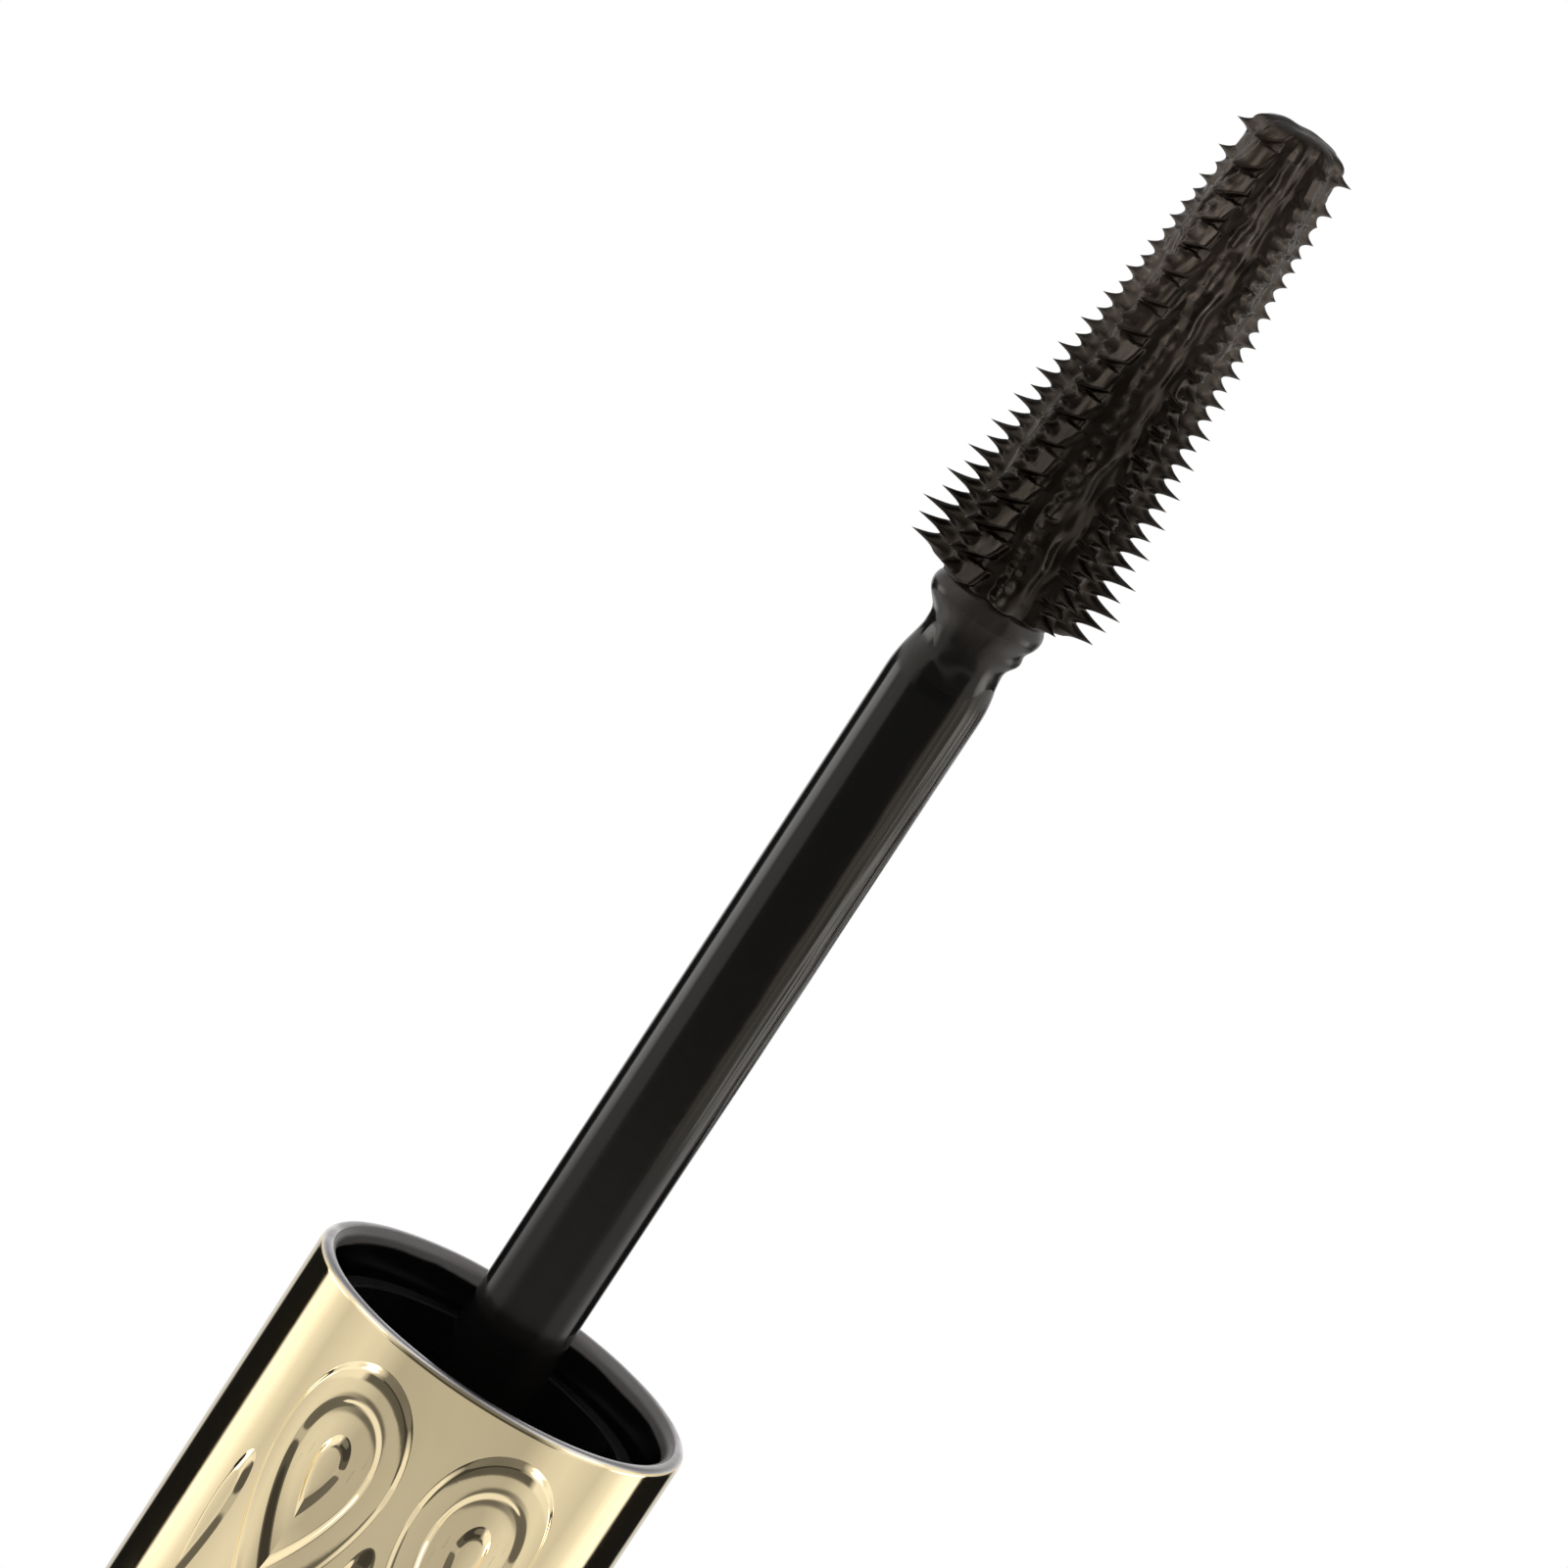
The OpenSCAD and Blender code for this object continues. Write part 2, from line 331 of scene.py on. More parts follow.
def settle(piece: Piece, body: Body, finishes: Sequence[Material],
           nodes: Sequence[str] = ()) -> None:
    """Give a piece its finishes, its body and the CAD nodes that it stands for.

    Args:
        piece: the object.
        body: body that it rides on.
        finishes: its materials in the order of its bands.
        nodes: CAD nodes that it replaces.
    """
    for finish in finishes:
        piece.data.materials.append(finish)
    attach(piece, body.value)
    if nodes:
        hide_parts(*nodes)
    LOG.info("%s: %d faces on %s", piece.name, len(piece.data.polygons), body.value)


class Graph:
    """Node graph of a material or of the world, with short calls for the nodes in use."""

    def __init__(self, owner: bpy.types.ID) -> None:
        """Empty the graph of its owner."""
        owner.use_nodes = True
        self.tree = owner.node_tree
        self.tree.nodes.clear()

    def feed(self, socket: Socket, value: object) -> None:
        """Link a socket to another, or set its value."""
        if isinstance(value, Socket):
            self.tree.links.new(value, socket)
        else:
            socket.default_value = value

    def node(self, kind: str, values: Optional[dict] = None, **settings: str) -> bpy.types.Node:
        """Add a shader node.

        Args:
            kind: its type.
            values: values or sockets for its inputs, by name or number.
            settings: its own settings.

        Returns:
            The node.
        """
        node = self.tree.nodes.new("ShaderNode" + kind)
        for key, value in settings.items():
            setattr(node, key, value)
        for key, value in (values or {}).items():
            self.feed(node.inputs[key], value)
        return node

    def math(self, operation: str, a: object, b: object) -> Socket:
        """Combine two values by a named operation."""
        return self.node("Math", {0: a, 1: b}, operation=operation).outputs[0]

    def plus(self, a: object, b: object) -> Socket:
        """Add two values."""
        return self.math("ADD", a, b)

    def times(self, a: object, b: object) -> Socket:
        """Multiply two values."""
        return self.math("MULTIPLY", a, b)

    def swing(self, noise: Socket, size: float) -> Socket:
        """Let a noise swing about zero."""
        return self.times(self.math("SUBTRACT", noise, 0.5), size)

    def part(self, vector: Socket, axis: int) -> Socket:
        """Take one part of a vector."""
        return self.node("SeparateXYZ", {0: vector}).outputs[axis]

    def stretch(self, vector: Socket, scale: Sequence[float]) -> Socket:
        """Scale a coordinate along its three axes."""
        return self.node("Mapping", {"Vector": vector, "Scale": scale}).outputs[0]

    def noise(self, vector: Socket, scale: float, detail: float = 3.0, rough: float = 0.5) -> Socket:
        """Add a noise texture."""
        values = {"Vector": vector, "Scale": scale, "Detail": detail, "Roughness": rough}
        return self.node("TexNoise", values).outputs[0]

    def span(self, value: Socket, low: float, high: float, to_low: float = 0.0,
             to_high: float = 1.0) -> Socket:
        """Map a value from one range to another, eased and clamped."""
        values = dict(enumerate((value, low, high, to_low, to_high)))
        return self.node("MapRange", values, interpolation_type="SMOOTHSTEP").outputs[0]

    def blend(self, share: Socket, low: object, high: object) -> Socket:
        """Blend two colours with alpha by a share."""
        return self.node("Mix", {0: share, 6: low, 7: high}, data_type="RGBA").outputs[2]

    def tint(self, share: Socket, low: Colour, high: Colour) -> Socket:
        """Blend two plain colours by a share."""
        return self.blend(share, (*low, 1.0), (*high, 1.0))

    def bump(self, height: Socket, depth: float, below: Optional[Socket] = None) -> Socket:
        """Add a bump of the given depth in millimetres, on top of another if one is given."""
        values = {"Distance": depth*MM, "Height": height}
        if below is not None:
            values["Normal"] = below
        return self.node("Bump", values).outputs[0]

    def either(self, share: Socket, low: Socket, high: Socket) -> Socket:
        """Blend two shaders by a share."""
        return self.node("MixShader", {0: share, 1: low, 2: high}).outputs[0]

    def ramp(self, turn: Socket, stops: Curve) -> Socket:
        """Add a ramp of light over an angle.

        Args:
            turn: angle as a share of half a turn.
            stops: degrees and light level of each stop.

        Returns:
            The ramp's colour.
        """
        node = self.node("ValToRGB", {0: turn})
        points = node.color_ramp.elements
        while len(points) < len(stops):
            points.new(0.5)
        for point, (degrees, level) in zip(points, stops):
            point.position = degrees/180.0
            point.color = (level, level, level, 1.0)
        return node.outputs[0]

    def seen(self) -> tuple[Socket, Socket]:
        """Return a mask of camera rays, and one of camera, glossy and transmission rays."""
        rays = self.node("LightPath").outputs
        camera = rays["Is Camera Ray"]
        beyond = self.math("MAXIMUM", rays["Is Glossy Ray"], rays["Is Transmission Ray"])
        return camera, self.math("MAXIMUM", camera, beyond)


class Recipe(Graph):
    """Graph of one finish: a principled shader and the places on the piece."""

    def __init__(self, name: str) -> None:
        """Start a material."""
        self.material = bpy.data.materials.new(name)
        super().__init__(self.material)
        self.shader = self.node("BsdfPrincipled")
        self.output = self.node("OutputMaterial", {0: self.shader.outputs[0]})
        place = self.node("TexCoord").outputs
        self.where, self.uv = place["Object"], place["UV"]

    def set(self, **values: object) -> Material:
        """Set or link the shader's sockets, with underscores for spaces, and return the material."""
        for key, value in values.items():
            self.feed(self.shader.inputs[key.replace("_", " ")], value)
        return self.material


@dataclass(frozen=True)
class PaleGold:
    """Vacuum-metallised plastic under a clear lacquer: champagne gold, close to a mirror."""

    name: str = "pale_gold"
    bright: Colour = (0.94, 0.785, 0.49)
    deep: Colour = (0.925, 0.765, 0.465)
    polish: float = 0.05
    haze: float = 0.085

    def make(self) -> Material:
        """Return the finish, with hazy patches and a faint orange peel."""
        r = Recipe(self.name)
        patch = r.noise(r.stretch(r.where, (1.0, 1.0, 0.45)), 420.0, 4.0, 0.6)
        return r.set(Base_Color=r.tint(r.span(patch, 0.3, 0.7), self.bright, self.deep), Metallic=1.0,
                     Roughness=r.span(patch, 0.35, 0.75, self.polish, self.haze),
                     Normal=r.bump(r.noise(r.where, 900.0, 2.0), 0.0018))


@dataclass(frozen=True)
class SilverLip:
    """Thin metallising over the rim's round lip, where the gold lacquer pulls back to silver."""

    bright: Colour = (0.93, 0.905, 0.91)
    grey: Colour = (0.78, 0.755, 0.75)
    polish: float = 0.26
    haze: float = 0.36

    def make(self) -> Material:
        """Return the finish, cloudy along the rim."""
        r = Recipe("silver_lip")
        cloud = r.span(r.noise(r.where, 340.0), 0.35, 0.68)
        return r.set(Base_Color=r.tint(cloud, self.bright, self.grey), Metallic=1.0,
                     Roughness=r.span(cloud, 0.0, 1.0, self.polish, self.haze),
                     Normal=r.bump(r.noise(r.where, 2400.0, 2.0), 0.002))


@dataclass(frozen=True)
class MouldedBlack:
    """Glossy moulded black plastic with faint flow marks."""

    name: str = "moulded_black"
    colour: Colour = (0.004, 0.004, 0.0042)
    worn: Colour = (0.009, 0.0088, 0.0085)
    gloss: float = 0.16
    dull: float = 0.30
    shine: float = 0.3

    def make(self) -> Material:
        """Return the finish."""
        r = Recipe(self.name)
        flow = r.noise(r.stretch(r.where, (1.0, 1.0, 0.25)), 420.0, 4.0)
        return r.set(Base_Color=r.tint(r.span(flow, 0.35, 0.75), self.colour, self.worn),
                     Roughness=r.span(flow, 0.3, 0.75, self.gloss, self.dull),
                     Normal=r.bump(r.noise(r.where, 2600.0, 2.0), 0.0022),
                     Specular_IOR_Level=self.shine)


@dataclass(frozen=True)
class BlackWithPaintedReflection:
    """Bare black inside of the cap, with a painted reflection: a pale band that reaches in from the
    rim.
    """

    rim: float
    plastic: Colour = (0.0035, 0.0035, 0.0036)
    # Pale grey painted on as a reflection band just inside the rim; the plastic itself is black.
    painted_reflection: Colour = (0.19, 0.178, 0.168)
    even: float = 0.60
    depth: float = 0.80
    ragged: float = 0.35
    gloss: float = 0.2
    dull: float = 0.34

    def make(self) -> Material:
        """Return the finish; the painted reflection is even above the rim at first, then fades by its
        depth.
        """
        r = Recipe("black_with_painted_reflection")
        edge = r.plus(r.part(r.where, 2), r.swing(r.noise(r.where, 300.0), self.ragged*MM))
        # Mask of the painted reflection: full just above the rim, gone by the band's depth.
        fade = r.span(edge, (self.rim + self.even)*MM, (self.rim + self.depth)*MM, 1.0, 0.0)
        return r.set(Base_Color=r.tint(fade, self.plastic, self.painted_reflection), Specular_IOR_Level=0.3,
                     Roughness=r.span(fade, 0.0, 1.0, self.gloss, self.dull),
                     Normal=r.bump(r.noise(r.where, 2600.0, 2.0), 0.002))


@dataclass(frozen=True)
class FilmedBlack:
    """Glossy black stem with a film of product wiped along one side in fine streaks."""

    plastic: Colour = (0.0040, 0.0038, 0.0036)
    film: Colour = (0.022, 0.0176, 0.0138)
    clear: Colour = (1.0, 0.955, 0.87)
    brown: Colour = (1.0, 0.90, 0.74)
    film_start: float = 0.47
    film_end: float = 0.685
    fade_start: float = 22.0
    fade_end: float = 30.0
    gloss: float = 0.13
    film_gloss: float = 0.27

    def make(self) -> Material:
        """Return the finish; the film lies between two shares of the turn and thins out up the stem."""
        r = Recipe("filmed_black")
        ragged = r.noise(r.stretch(r.uv, (14.0, 0.35, 1.0)), 1.0)
        share = r.plus(r.part(r.uv, 0), r.swing(ragged, 0.035))
        zone = r.times(r.span(share, self.film_start - 0.03, self.film_start),
                       r.span(share, self.film_end - 0.012, self.film_end + 0.012, 1.0, 0.0))
        zone = r.times(zone, r.span(r.part(r.uv, 1), self.fade_start, self.fade_end, 1.0, 0.12))
        streak = r.noise(r.stretch(r.uv, (85.0, 0.03, 1.0)), 1.0, 2.0, 0.6)
        cover = r.times(zone, r.span(streak, 0.30, 0.68, 0.15, 1.0))
        speck = r.noise(r.where, 1500.0)
        dull = r.plus(r.span(cover, 0.0, 1.0, self.gloss, self.film_gloss), r.swing(speck, 0.06))
        return r.set(Base_Color=r.tint(cover, self.plastic, self.film), Roughness=dull,
                     Specular_IOR_Level=0.36, Specular_Tint=r.tint(cover, self.clear, self.brown),
                     Normal=r.bump(r.times(zone, streak), 0.035, r.bump(speck, 0.0015)))


@dataclass(frozen=True)
class WetProduct:
    """Thick wet product on the brush: near-black brown, drawn out along it, paler towards the tip."""

    rim: float
    dark: Colour = (0.0018, 0.0011, 0.0008)
    pale: Colour = (0.0150, 0.0102, 0.0074)
    sheen: Colour = (1.0, 0.82, 0.66)
    wet: float = 0.25
    dry: float = 0.44
    dark_end: float = 46.0
    pale_start: float = 55.0

    def make(self) -> Material:
        """Return the finish; it turns paler and more reflective over a stretch below the rim, towards
        the tip.
        """
        r = Recipe("wet_product")
        low, high = self.rim - self.pale_start, self.rim - self.dark_end
        # Ramp by height only: a paler colour and a stronger reflection towards the tip.
        length_ramp = r.span(r.part(r.where, 2), low*MM, high*MM, 1.0, 0.0)
        drawn = r.stretch(r.where, (1.0, 1.0, 0.4))
        patch, lumps = r.noise(drawn, 800.0), r.noise(drawn, 2100.0)
        grit = r.noise(r.where, 8000.0, 2.0)
        cover = r.times(r.span(patch, 0.35, 0.7, 0.1, 1.0), r.span(length_ramp, 0.0, 1.0, 0.08, 1.0))
        uneven = r.plus(patch, r.times(grit, 0.2))
        return r.set(Base_Color=r.tint(cover, self.dark, self.pale), Specular_Tint=(*self.sheen, 1.0),
                     Roughness=r.span(uneven, 0.42, 0.85, self.wet, self.dry),
                     Specular_IOR_Level=r.span(length_ramp, 0.0, 1.0, 0.40, 0.70),
                     Normal=r.bump(grit, 0.0018, r.bump(lumps, 0.022)))


@dataclass(frozen=True)
class SmearedProduct:
    """Thin product wiped over the brush's collar: satin brown-black, glossy towards the stem."""

    rim: float
    wet: Colour = (0.0040, 0.0038, 0.0036)
    pale: Colour = (0.0190, 0.0150, 0.0125)
    sheen: Colour = (1.0, 0.91, 0.81)
    gloss: float = 0.13
    seat: float = 36.6
    below: float = 1.2
    above: float = 1.0
    slant: float = 0.6

    def make(self) -> Material:
        """Return the finish; the satin fades in past the stem's end, sooner on one side."""
        r = Recipe("smeared_product")
        drag = r.noise(r.stretch(r.where, (1.0, 1.0, 0.3)), 1300.0)
        level = r.plus(r.part(r.where, 2), r.times(r.part(r.where, 0), self.slant))
        end = self.rim - self.seat
        satin = r.span(level, (end - self.below)*MM, (end + self.above)*MM, 1.0, 0.0)
        dull = r.times(satin, r.span(drag, 0.3, 0.75, 0.11, 0.25))
        brown = r.times(satin, r.span(drag, 0.35, 0.7, 0.3, 1.0))
        return r.set(Base_Color=r.tint(brown, self.wet, self.pale), Roughness=r.plus(dull, self.gloss),
                     Specular_IOR_Level=0.34, Specular_Tint=(*self.sheen, 1.0),
                     Normal=r.bump(r.times(satin, drag), 0.014))


@dataclass(frozen=True)
class SoftRubber:
    """Satin black elastomer of the wiper, smeared with product."""

    clean: Colour = (0.016, 0.0155, 0.015)
    smeared: Colour = (0.006, 0.005, 0.0045)
    satin: float = 0.5
    wet: float = 0.2

    def make(self) -> Material:
        """Return the finish."""
        r = Recipe("soft_rubber")
        smear = r.span(r.noise(r.where, 620.0, 4.0), 0.42, 0.58)
        return r.set(Base_Color=r.tint(smear, self.clean, self.smeared),
                     Roughness=r.span(smear, 0.0, 1.0, self.satin, self.wet),
                     Normal=r.bump(smear, 0.02, r.bump(r.noise(r.where, 3500.0, 2.0), 0.003)))


@dataclass(frozen=True)
class WasherFoam:
    """Off-white pressed foam of the sealing washer, printed with a product stain."""

    clean: Colour = (0.80, 0.78, 0.73)
    stain: Colour = (0.16, 0.13, 0.11)

    def make(self) -> Material:
        """Return the finish."""
        r = Recipe("washer_foam")
        mark = r.span(r.noise(r.where, 520.0, 4.0), 0.55, 0.66)
        cells = r.noise(r.where, 5200.0, 2.0)
        return r.set(Base_Color=r.tint(mark, self.clean, self.stain),
                     Roughness=r.span(cells, 0.3, 0.7, 0.6, 0.85), Normal=r.bump(cells, 0.02))


@dataclass(frozen=True)
class Finishes:
    """The finishes of the tube, made once."""

    gold: Material
    satin: Material
    lip: Material
    black: Material
    deep: Material
    painted_reflection_black: Material
    stem: Material
    product: Material
    smear: Material
    rubber: Material
    foam: Material

    @classmethod
    def make(cls, rim: float) -> "Finishes":
        """Build every finish for a cap rim at the given height."""
        satin = PaleGold(name="satin_gold", polish=0.30, haze=0.38)
        deep = MouldedBlack(name="deep_black", shine=0.05)
        recipes = (PaleGold(), satin, SilverLip(), MouldedBlack(), deep, BlackWithPaintedReflection(rim),
                   FilmedBlack(), WetProduct(rim), SmearedProduct(rim), SoftRubber(), WasherFoam())
        return cls(*(recipe.make() for recipe in recipes))


@dataclass
class Thread:
    """One-start screw thread: a trapezoid section carried along a helix."""

    radius: float
    height: float
    start: float
    turns: float = 2.4
    lead: float = 3.2
    width: float = 1.15
    flank: float = 0.3
    root: float = 0.12
    fade_rate: float = 6.0
    steps_per_turn: int = 72

    def points(self) -> Array:
        """Work out the thread's grid.

        A point of the section at radial offset h and axial offset w goes to radius + h and to
        start + lead*turn + w; h fades to nothing over a sixth of a turn at both ends. A negative
        height points inwards. The section closes on itself under the wall, and each end closes in
        the middle of its section.

        Returns:
            Grid of points, section by path.
        """
        turn = np.linspace(0.0, self.turns, int(self.turns*self.steps_per_turn) + 1)
        fade = smooth(turn*self.fade_rate)*smooth((self.turns - turn)*self.fade_rate)
        sign, height, half = np.sign(self.height), abs(self.height), 0.5*self.width
        offset = np.array([-self.root, 0.0, height, height, 0.0, -self.root])[:, None]
        axial = np.array([-half, -half, self.flank - half, half - self.flank, half, half])[:, None]
        raised = np.where(offset > 0.0, offset*fade, offset)
        grid = polar(self.radius + sign*raised, TAU*turn, self.start + self.lead*turn + axial)
        ends = np.broadcast_to(grid[:, [0, -1]].mean(axis=0), (len(grid) + 1, 2, 3))
        grid = np.concatenate([grid, grid[:1]])
        grid = np.concatenate([ends[:, :1], grid, ends[:, 1:]], axis=1)
        return grid if sign > 0 else grid[::-1]


@dataclass
class PetalRing:
    """Raised border by the cap's mouth, front and back: framed petals, drops in them, darts between.

    The three numbers of a panel are half its width, its length and its height.
    """

    radius: float
    foot: float
    faces: tuple[float, float] = (0.5*np.pi, 1.5*np.pi)
    step: float = TAU/8.0
    petal: Panel = (3.05, 13.5, 0.20)
    drop: Panel = (0.80, 4.6, 0.17)
    dart: Panel = (0.70, 8.5, 0.18)
    drop_lift: float = 3.3
    dart_lift: float = 6.4
    fullness: float = 2.6
    heart: float = 0.36
    bevel: float = 0.34
    frame: float = 1.05
    sunk: float = 0.9
    root: float = 0.02
    outline: int = 120
    bevel_rings: int = 9
    flat_rings: int = 4

    def panel(self, shape: Panel, lift: float, places: Sequence[float], framed: bool) -> Array:
        """Work out one set of raised panels bent round the cap.

        Half the width at share s of the length is width*fullness*sqrt(s)*(1 - s): round at the
        foot and pointed at the end. Rings of that outline shrink towards the panel's heart, and
        rise over the bevel from just under the surface to the panel's height. A framed panel falls
        back over a second bevel, so that only its border stands up. The first ring lies in the
        heart under the surface, which closes the underside.

        Args:
            shape: half width, length and height of a panel.
            lift: distance of its foot from the border's foot.
            places: places of the panels in steps from the middle of a face.
            framed: whether the middle is sunk.

        Returns:
            Stack of grids, one per panel.
        """
        width, length, height = shape
        t = np.linspace(0.0, 1.0, self.outline, endpoint=False)
        s = 0.5 - 0.5*np.cos(TAU*t)
        across = np.sign(np.sin(TAU*t))*width*self.fullness*np.sqrt(s)*(1.0 - s)
        slope = np.linspace(0.0, self.bevel, self.bevel_rings)
        steps = [slope, self.frame + slope] if framed else [slope]
        inset = np.concatenate(steps + [np.linspace(steps[-1][-1], width, self.flat_rings + 1)[1:]])
        rise = smooth(inset/self.bevel)
        if framed:
            rise = rise - self.sunk*smooth((inset - self.frame)/self.bevel)
        shrink = np.concatenate([[0.0], 1.0 - inset/width])[:, None]
        rise = np.concatenate([[0.0], rise])[:, None]
        middle = self.heart*length
        angle = (np.array(self.faces)[:, None] + self.step*np.array(places)).ravel()
        a = angle[:, None, None] + shrink*across/self.radius
        z = self.foot + lift + middle + shrink*(length*s - middle)
        return polar(self.radius - self.root + (height + self.root)*rise, a, z)

    def build(self, gold: Material) -> None:
        """Make the three sets of panels."""
        beside, between = (-0.5, 0.5), (-1.0, 0.0, 1.0)
        parts = {"cap_petals": (self.petal, 0.0, beside, True),
                 "cap_drops": (self.drop, self.drop_lift, beside, False),
                 "cap_darts": (self.dart, self.dart_lift, between, False)}
        for name, shape in parts.items():
            settle(surface(name, self.panel(*shape)), Body.APPLICATOR, [gold])


@dataclass
class Cap:
    """Gold cap shell with a round lip, the black inner cap in it and the loose washer."""

    rim: float
    radius: float
    length: float
    wall: float = 0.8
    end: float = 1.2
    edge: float = 0.5
    lip_in: float = 0.42
    lip_out: float = 0.30
    lip_face: float = 0.12
    lip_height: float = 1.0
    bare: float = 0.30
    flat: float = 0.02
    border: float = 1.25
    recess: float = 2.0
    seam: float = 12.0
    inner_radius: float = 7.75
    bore: float = 6.9
    floor: float = 16.0
    floor_thickness: float = 1.6
    inner_top: float = 23.6
    socket: float = 2.05
    boss: float = 3.3
    thread: float = 0.38
    thread_lift: float = 2.9
    washer_gap: float = 0.15
    columns: int = 256

    def shell(self, finish: Finishes) -> None:
        """Turn the shell: gold outside, satin end, silver lip, black inside with a painted reflection
        at the rim.
        """
        inner, z, top = self.radius - self.wall, self.rim, self.rim + self.length
        corners = [(0.0, top - self.end, 0.0), (inner, top - self.end, 0.4), (inner, z, self.lip_in),
                   (self.radius, z, self.lip_out), (self.radius, top, self.edge), (0.0, top, 0.0)]
        profile = rounded_profile(corners, 14)
        r, h = (0.5*(profile[1:] + profile[:-1])).T
        inside = (r < inner + self.bare) & (h < top - 0.5*self.end)
        lip = (h < z + self.lip_height) & ((h < z + self.lip_face) | (r < self.radius - self.lip_out))
        bands = np.select([inside, lip, h > top - self.flat], [2, 1, 3], 0)
        finishes = [finish.gold, finish.lip, finish.painted_reflection_black, finish.satin]
        piece = surface("cap_shell_skin", turned(profile, self.columns), True, bands)
        settle(piece, Body.APPLICATOR, finishes, ["cap_shell"])

    def insert(self, finish: Finishes) -> None:
        """Turn the inner cap with its bore, floor and stem socket, and add the thread in the bore."""
        low, seam, top = self.rim + self.recess, self.rim + self.seam, self.rim + self.inner_top
        floor, upper = self.rim + self.floor, self.rim + self.floor + self.floor_thickness
        outer = self.inner_radius
        corners = [(outer, seam, 0.0), (outer, top, 0.2), (self.bore, top, 0.2),
                   (self.bore, upper, 0.3), (self.boss, upper, 0.3), (self.boss, top, 0.2),
                   (self.socket, top, 0.1), (self.socket, floor, 0.1), (self.bore, floor, 0.3),
                   (self.bore, low, 0.14), (outer, low, 0.14), (outer, seam, 0.0)]
        settle(lathe("inner_cap_body", corners, 6, 192), Body.APPLICATOR, [finish.deep],
               ["inner_cap"])
        ridge = Thread(self.bore, -self.thread, low + self.thread_lift)
        settle(surface("inner_cap_thread", ridge.points(), False), Body.APPLICATOR,
               [finish.black])

    def washer(self, finish: Finishes) -> None:
        """Turn the loose sealing washer in the place of its solid."""
        low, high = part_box("sealing_washer")
        bottom, top, outer = low.z/MM, high.z/MM, high.x/MM
        inner, seam = self.boss + self.washer_gap, 0.5*(bottom + top)
        corners = [(inner, seam, 0.0), (inner, bottom, 0.08), (outer, bottom, 0.12), (outer, top, 0.12),
                   (inner, top, 0.08), (inner, seam, 0.0)]
        settle(lathe("sealing_washer_ring", corners, 4, 128), Body.WASHER, [finish.foam],
               ["sealing_washer"])

    def build(self, finish: Finishes) -> None:
        """Make the cap's pieces in order."""
        self.shell(finish)
        PetalRing(self.radius, self.rim + self.border).build(finish.gold)
        self.insert(finish)
        self.washer(finish)


@dataclass
class Stem:
    """Black stem: root flange under the inner cap's floor, rod, waist and the brush's seat."""

    rim: float
    radius: float = 2.3
    waist_share: float = 0.845
    waist_length: float = 0.7
    shoulder: float = 2.3
    reach: float = 36.6
    root: float = 3.3
    root_low: float = 15.05
    floor: float = 15.95
    top: float = 23.6
    tang: float = 2.0
    film_sides: tuple[float, float] = (0.45, 0.67)
    film_top: float = 9.0
    film_depth: float = 0.024
    film_lumps: Ripple = Ripple(11, 24, 40, 0.14)
    columns: int = 160
    rod_lines: int = 150

    def film(self, angle: Array, z: Array) -> Array:
        """Thickness of the product film wiped along one side of the rod.

        The film is a lumpy plateau between two shares of the turn. It fades in over 8 mm below
        its top and ends by the brush.

        Args:
            angle: angles round the axis.
            z: heights along the stem.

        Returns:
            Extra radius on the grid.
        """
        first, last = self.film_sides
        zone = smooth((angle/TAU - first)/0.05)*smooth((last - angle/TAU)/0.05)
        along = smooth((self.rim - self.film_top - z)/8.0)*smooth((z - self.rim + self.reach - 1.0)/1.5)
        lumps = 0.6 + 0.4*self.film_lumps.at(angle, z)
        return self.film_depth*zone*along*np.clip(lumps, 0.0, 1.6)

    def outline(self) -> Array:
        """Outline of the stem from the brush's seat up to the tang's end."""
        end, waist = self.rim - self.reach, self.waist_share*self.radius
        low, floor, top = self.rim + self.root_low, self.rim + self.floor, self.rim + self.top
        corners = [(0.0, end, 0.0), (waist, end, 0.1), (waist, end + self.waist_length, 4.0),
                   (self.radius, end + self.shoulder, 7.0), (self.radius, low, 0.25),
                   (self.root, low, 0.15), (self.root, floor, 0.08), (self.tang, floor, 0.05),
                   (self.tang, top, 0.2), (0.0, top, 0.0)]
        return rounded_profile(corners, 8)

    def build(self, finish: Finishes) -> None:
        """Turn the stem, with more lines along the rod, and add the film to its radius."""
        profile = self.outline()
        rod = np.linspace(self.rim - self.reach + 3.2, self.rim + self.root_low - 0.5, self.rod_lines)
        lower = profile[profile[:, 1] < rod[0] - 0.02]
        upper = profile[profile[:, 1] > rod[-1] + 0.02]
        rod = np.stack([np.full_like(rod, self.radius), rod], axis=-1)
        profile = np.concatenate([lower, rod, upper])
        grid = turned(profile, self.columns, self.film(spokes(self.columns), profile[:, 1:]))
        settle(surface("stem_rod", grid), Body.APPLICATOR, [finish.stem], ["stem"])


